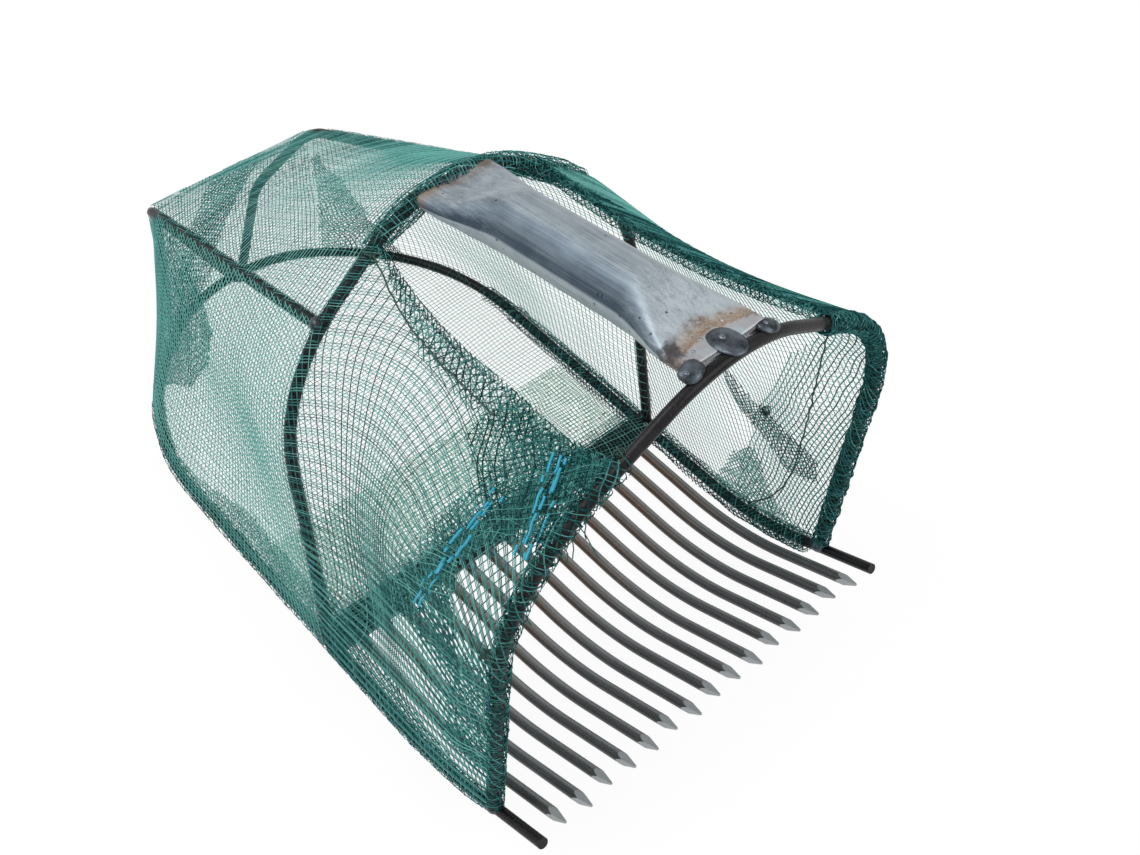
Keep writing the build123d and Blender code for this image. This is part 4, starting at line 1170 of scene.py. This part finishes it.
def makeWeldMaterial(name, dark, light):
    made, graph, shader, place = newMaterial(name)
    marks = wear(graph, place, 260.0, 1400.0, 300.0, 0.10)
    blotch = marks["Blotch"]
    base = graph.ramp(blotch, [(0.35, dark), (0.70, light)])
    graph.fill(shader, {
        "Base Color": graph.mix(graph.times(marks["Pits"], 0.7), base, weldFinish["dark"]), "Metallic": 0.8,
        "Roughness": graph.remap(blotch, 0.3, 0.7, 0.24, 0.44), "Normal": graph.bump(blotch, 0.35, 0.0005)})
    return made


weldMaterial = makeWeldMaterial("weldMetal", weldFinish["dark"], weldFinish["light"])
# a lighter copy of the weld finish: painted glints on the small beads by the welds
glintMaterial = makeWeldMaterial("weldGlintBeads", weldFinish["light"], weldFinish["glintColour"])


lumps = [(0.10, 1.3, (3.1, 0, 0)), (0.03, 5.0, (0, 2.3, 0))]  # height, scale and step from bead to bead


def weldBlobs(name, replaced, blobs, material=weldMaterial, detail=4):
    # lumpy beads joined into one piece: place, three half sizes and an upward direction for each
    made = bmesh.new()
    for number, (centre, sizes, up) in enumerate(blobs):
        turn = Vector(up).to_track_quat("Z", "Y").to_matrix().to_4x4()
        for vertex in bmesh.ops.create_icosphere(made, subdivisions=detail, radius=1.0)["verts"]:
            lump = 1.0
            for height, scale, step in lumps:
                lump += height * noise.noise(vertex.co * scale + Vector([number * part for part in step]))
            shaped = Vector([part * size for part, size in zip(vertex.co, sizes)]) * lump
            vertex.co = (turn @ shaped + Vector(tuple(centre))) * mm
    mesh = bpy.data.meshes.new(name)
    made.to_mesh(mesh)
    made.free()
    shadeSmooth(mesh)
    mesh.materials.append(material)
    return addPiece(linked(name, mesh), replaced)


weldUp = tuple(handleUp)
sides = (1, -1)
tinePlaces = [(number - (rods["tineCount"] - 1) / 2) * rods["tinePitch"] for number in range(rods["tineCount"])]
frontCentre = frontTop - handleLine * 1.0
weldBlobs("handleFrontWelds", "handle_front_welds", [
    (frontTop - handleLine * 3.6 + handleUp * 2.0, (4.7, 6.3, 1.3), weldUp),
    (frontCentre + np.array((-1.8, -14.2, 0.6)), (3.4, 3.9, 1.5), (0.0, -0.25, 0.95)),
    (frontCentre + np.array((-0.6, 13.8, 0.4)), (3.0, 3.8, 1.5), (0.05, 0.25, 0.95))])
# distance back, side, height and size of each small bead; its light colour is a painted glint
glintBeads = [(-4.6, -0.6, 3.3, 0.9), (-2.6, -16.0, 1.6, 0.8), (-4.4, -13.6, 1.9, 0.55), (-1.6, 12.8, 2.0, 0.75),
           (-1.0, 16.6, 1.2, 0.6), (-9.0, -4.0, 2.1, 0.5), (-10.5, 5.5, 2.1, 0.45), (-8.2, 9.8, 2.0, 0.5),
           (-7.0, -9.0, 2.1, 0.55)]
weldBlobs("weldGlintBeads", None, [
    (frontTop + handleLine * back + np.array((0, side, 0)) + handleUp * up, (size, size * 1.2, size * 0.6), weldUp)
    for back, side, up, size in glintBeads], glintMaterial, 2)
weldBlobs("handleRearWelds", "handle_rear_welds", [
    (middleTop + handleLine * 2.2 + np.array((0, side * 3.9, 1.2 - 0.028 * abs(side) ** 3)), (1.8, 2.6, 1.5), weldUp)
    for side in (-3.6, -2.7, -1.8, -0.9, 0, 0.9, 1.8, 2.7, 3.6)])
weldBlobs("frontArchWelds", "front_arch_welds", [
    ((frontX, side * sideHalf, frontFoot[2] + 1.2), (3.2, 3.0, 2.8), (0, 0, 1)) for side in sides])
weldBlobs("barWelds", "bar_welds", [
    ((barX, side * (sideHalf - 1.0), floorRod + 2.4), (3.4, 3.2, 2.8), (0, 0, 1)) for side in sides])
weldBlobs("stayTopWelds", "stay_top_welds", [
    (stayShoulder * np.array((1, side, 1)) + np.array((-1.5, 0, -0.4)), (3.0, 2.8, 2.8), (-1, 0, 0))
    for side in sides])
weldBlobs("stayFootWeld", "stay_foot_weld", [((tailX + 2.4, 0, floorRod + 1.0), (3.2, 4.6, 2.4), (0, 0, 1))])
weldBlobs("tineWelds", "tine_welds", [
    ((barX + rods["barWidth"] / 2 + 0.6, y, 4.6), (1.8, 2.5, 1.5), (0.5, 0, 0.85)) for y in tinePlaces])
print("welds made")


# sewing and marker threads laid on the panels

def makeThreadTree():
    graph, given, out = newTree("threadAlong", "GeometryNodeTree", {
        "Geometry": "Geometry", "Thread Radius": 0.0002, "Wander": 0.0006, "Step": 0.0012, "Material": "Material"},
        {"Geometry": "Geometry"})
    curve = graph.add("GeometryNodeMeshToCurve", {"Mesh": given["Geometry"]})
    even = graph.add("GeometryNodeResampleCurve", {"Curve": curve, "Length": given["Step"]}, mode="LENGTH")
    shift = graph.wander(graph.add("GeometryNodeInputPosition"), 260.0, 1.0, given["Wander"])
    moved = graph.add("GeometryNodeSetPosition", {"Geometry": even, "Offset": shift})
    return graph.finish(graph.tube(moved, given["Thread Radius"], 6, True), given["Material"], out)


threadTree = makeThreadTree()
threadStep = 1.2


def throughPoints(points, steps=10):
    # a smooth line through points
    points = [np.array(point, float) for point in points]
    padded = [2 * points[0] - points[1]] + points + [2 * points[-1] - points[-2]]
    line = []
    for before, start, end, after in zip(padded, padded[1:], padded[2:], padded[3:]):
        for t in (step / steps for step in range(steps)):
            line.append(0.5 * (2 * start + (end - before) * t + (2 * before - 5 * start + 4 * end - after) * t ** 2
                               + (3 * start - before - 3 * end + after) * t ** 3))
    return line + [points[-1]]


def threads(name, lines, radius, wander, material):
    piece = meshFromTree(name, lineObject(name + "Path", lines), threadTree, {
        "Thread Radius": radius * mm, "Wander": wander * mm, "Step": threadStep * mm, "Material": material})
    return addPiece(piece)


def onPanel(grid, shares, offset):
    return throughPoints([onGrid(grid, across, up) + offset for across, up in shares])


def dashed(line, seed, dash=9.0, gap=1.5):
    # a thread seen only where it comes to the face of the net
    path = traced(line)
    pieces = []
    spot = 0.0
    count = 0
    while spot < path["length"] - 1.0:
        length = dash * (0.6 + 0.4 * math.sin(seed + count * 2.4))
        sway = math.sin(seed * 3 + count * 1.7)
        pieces.append([along(path, stop) + np.array((sway, 0, 0.3 * sway))
                       for stop in np.linspace(spot, min(spot + length, path["length"]), 6)])
        spot += length + gap * (0.6 + 0.6 * abs(math.sin(seed + count)))
        count += 1
    return pieces


def knot(centre, radius, turns, seed):
    # a tight tangle of one thread
    spots = []
    for k in range(turns * 8):
        angle = k * 2 * math.pi / 8
        swing = noise.noise_vector(Vector((k * 0.23 + seed, seed * 0.7, 0.3)))
        around = (math.cos(angle) + swing.x, 0.6 * math.sin(angle * 1.3) + swing.y, math.sin(angle) + swing.z)
        spots.append(np.array(centre) + radius * np.array(around))
    return throughPoints(spots, 4)


def looseEnd(start, lean, length, seed):
    # a cut end that curls away and hangs
    spots = []
    for share in (k / 5 for k in range(6)):
        swing = noise.noise_vector(Vector((share * 1.7 + seed, seed * 1.3, 0.0)))
        drop = np.array((0, 0, -0.5 * length * share * share))
        reached = np.array(start) + np.array(lean) * length * share + drop
        spots.append(reached + 0.42 * length * share * np.array(swing))
    return throughPoints(spots, 5)


outNear = np.array((0.0, -1.5, 0.4))
inFar = np.array((0.0, -1.6, 0.4))
seams = [onPanel(nearFront, [(0.04, 0.99), (0.10, 0.983), (0.2, 0.972), (0.35, 0.965), (0.5, 0.962), (0.62, 0.958)],
                 outNear),
         onPanel(farFront, [(0.836, 0.68), (0.806, 0.381), (0.786, 0.207), (0.72, 0.10), (0.60, 0.02)], inFar)]
threads("seamThreads", seams, 0.30, 1.4, sewingMaterial)
knots = [knot(along(nearMiddle, hemRear - 6) + np.array((2.5, -1.5, 0)), 1.8, 5, 3.1),
         knot(onGrid(farFront, 0.642, 0.358) + inFar, 1.6, 4, 5.3),
         knot(along(nearArch, 96) + np.array((-2.5, -2.6, 0)), 1.7, 5, 7.9),
         knot(along(nearArch, hemFront) + np.array((-2.0, -1.5, 0)), 1.8, 5, 9.2),
         knot(along(nearMiddle, hemRear + 14) + np.array((0, 0, 2.4)), 1.9, 5, 11.7)]
threads("threadKnots", knots, 0.24, 0.3, sewingMaterial)
# length up the arch's leg, direction and reach of each loose end
endKinds = ((140, (0.9, -0.3, 0.1), 4), (144, (0.8, -0.5, -0.2), 6), (147, (0.9, 0.1, -0.4), 7),
            (150, (0.7, -0.5, -0.5), 5), (118, (0.9, -0.2, 0.2), 4), (92, (0.8, -0.5, 0.1), 4))
ends = [looseEnd(along(nearArch, length) + np.array((2.4, -1.6, 0)), lean, reach, length)
        for length, lean, reach in endKinds]
ends.append(looseEnd(along(netFront, 30) + np.array((1.0, -1.0, 0)), (0.5, -0.6, 0.2), 7, 4.1))
threads("looseEnds", ends, 0.17, 0.6, netMaterial)
markers = []
for number, start in enumerate((0.618, 0.640)):
    line = onPanel(nearFront, [(start, 0.53), (start + 0.10, 0.72), (start + 0.14, 0.87)], outNear)
    markers += dashed(line, 1.0 + number)
for number, shift in enumerate((-0.024, 0.0, 0.022)):
    line = onPanel(nearFront, [(0.95 + shift, 0.80), (0.90 + shift, 0.90), (0.845 + shift, 0.98)], outNear)
    markers += dashed(line, 4.0 + number)
markers += dashed(onPanel(farFront, [(0.58, 0.93), (0.64, 0.90), (0.70, 0.89)], inFar), 8.0)
threads("markerThreads", markers, 0.46, 1.4, markerMaterial)
redLine = throughPoints([(17.5 + 1.4 * math.sin(y * 0.09), y, 2.6) for y in np.linspace(-71, 72, 16)])
threads("redThreads", dashed(redLine, 11.0, 2.2, 1.6), 0.18, 0.4, redMaterial)
print("threads laid")


# every net panel and fold is a cut sheet, whose flat size is worked out


def declareSheet(piece, grid, restsOn, withPieces=(), size=None):
    wide, tall = size or (float(runs(grid, 1)[:, -1].max()), float(runs(grid, 0)[-1].max()))


def wrapped(*names):
    return [wrapPieces[name] for name in names]


stays = ["left_stay", "right_stay"]
held = {
    "net_left_front": (["base_loop", "middle_arch", "front_arch"],
                       bindingPieces["left"] + hemPieces["left"] + wrapped("farLoopWrap", "farLoopOverWrap")),
    "net_right_front": (["base_loop", "middle_arch", "front_arch"],
                        bindingPieces["right"] + hemPieces["right"] + wrapped("nearLoopWrap")),
    "net_left_rear": (["base_loop", "middle_arch", "left_stay"], wrapped("farStayWrap", "farLegWrap")),
    "net_right_rear": (["base_loop", "middle_arch", "right_stay"], wrapped("nearStayWrap", "nearLegWrap")),
    "net_top": (["middle_arch"] + stays, wrapped("archTopWrap", "archTopOverWrap")),
    "net_back": (["base_loop"] + stays, ()),
    "net_bottom": (["base_loop", "tine_bar"], wrapped("rearLoopWrap")),
}
for node, (restsOn, withPieces) in held.items():
    declareSheet(panels[node], panelKinds[node][1], restsOn, withPieces)
declareSheet(barPiece, barGrid, ["tine_bar"])
for sheet in foldSheets.values():
    declareSheet(*sheet)


# camera, floor and light

view = {"lens": 44.88, "sensor": 36.0, "place": (tipX + 123.71, -213.31, 454.89), "right": (0.66967, 0.74058, 0.05557),
        "down": (0.59672, -0.49202, -0.63391), "forward": (-0.44212, 0.45767, -0.77141), "clip": (0.01, 20)}


def makeCamera():
    camera = linked("camera", bpy.data.cameras.new("camera"))
    camera.data.sensor_width = view["sensor"]
    camera.data.lens = view["lens"]
    camera.data.clip_start, camera.data.clip_end = view["clip"]
    right, down, forward = (Vector(view[key]) for key in ("right", "down", "forward"))
    camera.rotation_euler = Matrix((right, -down, -forward)).transposed().to_euler()
    camera.location = Vector(view["place"]) * mm
    bpy.context.scene.camera = camera


floorFinish = {"half": 6, "colour": (0.93, 0.93, 0.93), "glow": 0.92}


def makeFloor():
    half = floorFinish["half"]
    corners = [(-half, -half, 0), (half, -half, 0), (half, half, 0), (-half, half, 0)]
    floor = meshObject("floor", corners, [(0, 1, 2, 3)])
    made, graph, shader = newMaterial("paleFloor")[:3]
    graph.fill(shader, {"Base Color": floorFinish["colour"], "Roughness": 0.9, "Specular IOR Level": 0.0})
    rays = graph.add("ShaderNodeLightPath").outputs
    bounced = graph.calc("MAXIMUM", rays["Is Glossy Ray"], rays["Is Transmission Ray"])
    seen = graph.calc("MAXIMUM", rays["Is Camera Ray"], bounced)
    glow = graph.add("ShaderNodeEmission", {"Color": (1, 1, 1), "Strength": 1.0})
    mixed = graph.add("ShaderNodeMixShader", {
        0: graph.times(seen, floorFinish["glow"]), 1: made.node_tree.nodes["Principled BSDF"], 2: glow})
    graph.feed(mixed, made.node_tree.nodes["Material Output"].inputs["Surface"])
    floor.data.materials.append(made)


lighting = {"world": 0.75, "lampSize": 0.9, "lamps": {"key": ((-0.5, -0.7, 1.1), 9.0), "fill": ((0.9, 0.3, 0.9), 5.0)}}


def makeLights():
    world = bpy.data.worlds.new("studio")
    bpy.context.scene.world = world
    world.use_nodes = True
    Graph(world.node_tree).fill(world.node_tree.nodes["Background"].inputs, {
        "Color": (1, 1, 1), "Strength": lighting["world"]})
    for name, (place, power) in lighting["lamps"].items():
        lamp = linked(name, bpy.data.lights.new(name, "AREA"))
        lamp.data.size = lighting["lampSize"]
        lamp.data.energy = power
        lamp.location = place
        lamp.rotation_euler = (-Vector(place)).to_track_quat("-Z", "Y").to_euler()


makeCamera()
makeFloor()
makeLights()
bpy.context.scene.view_settings.view_transform = "Standard"
print("camera, floor and light set")
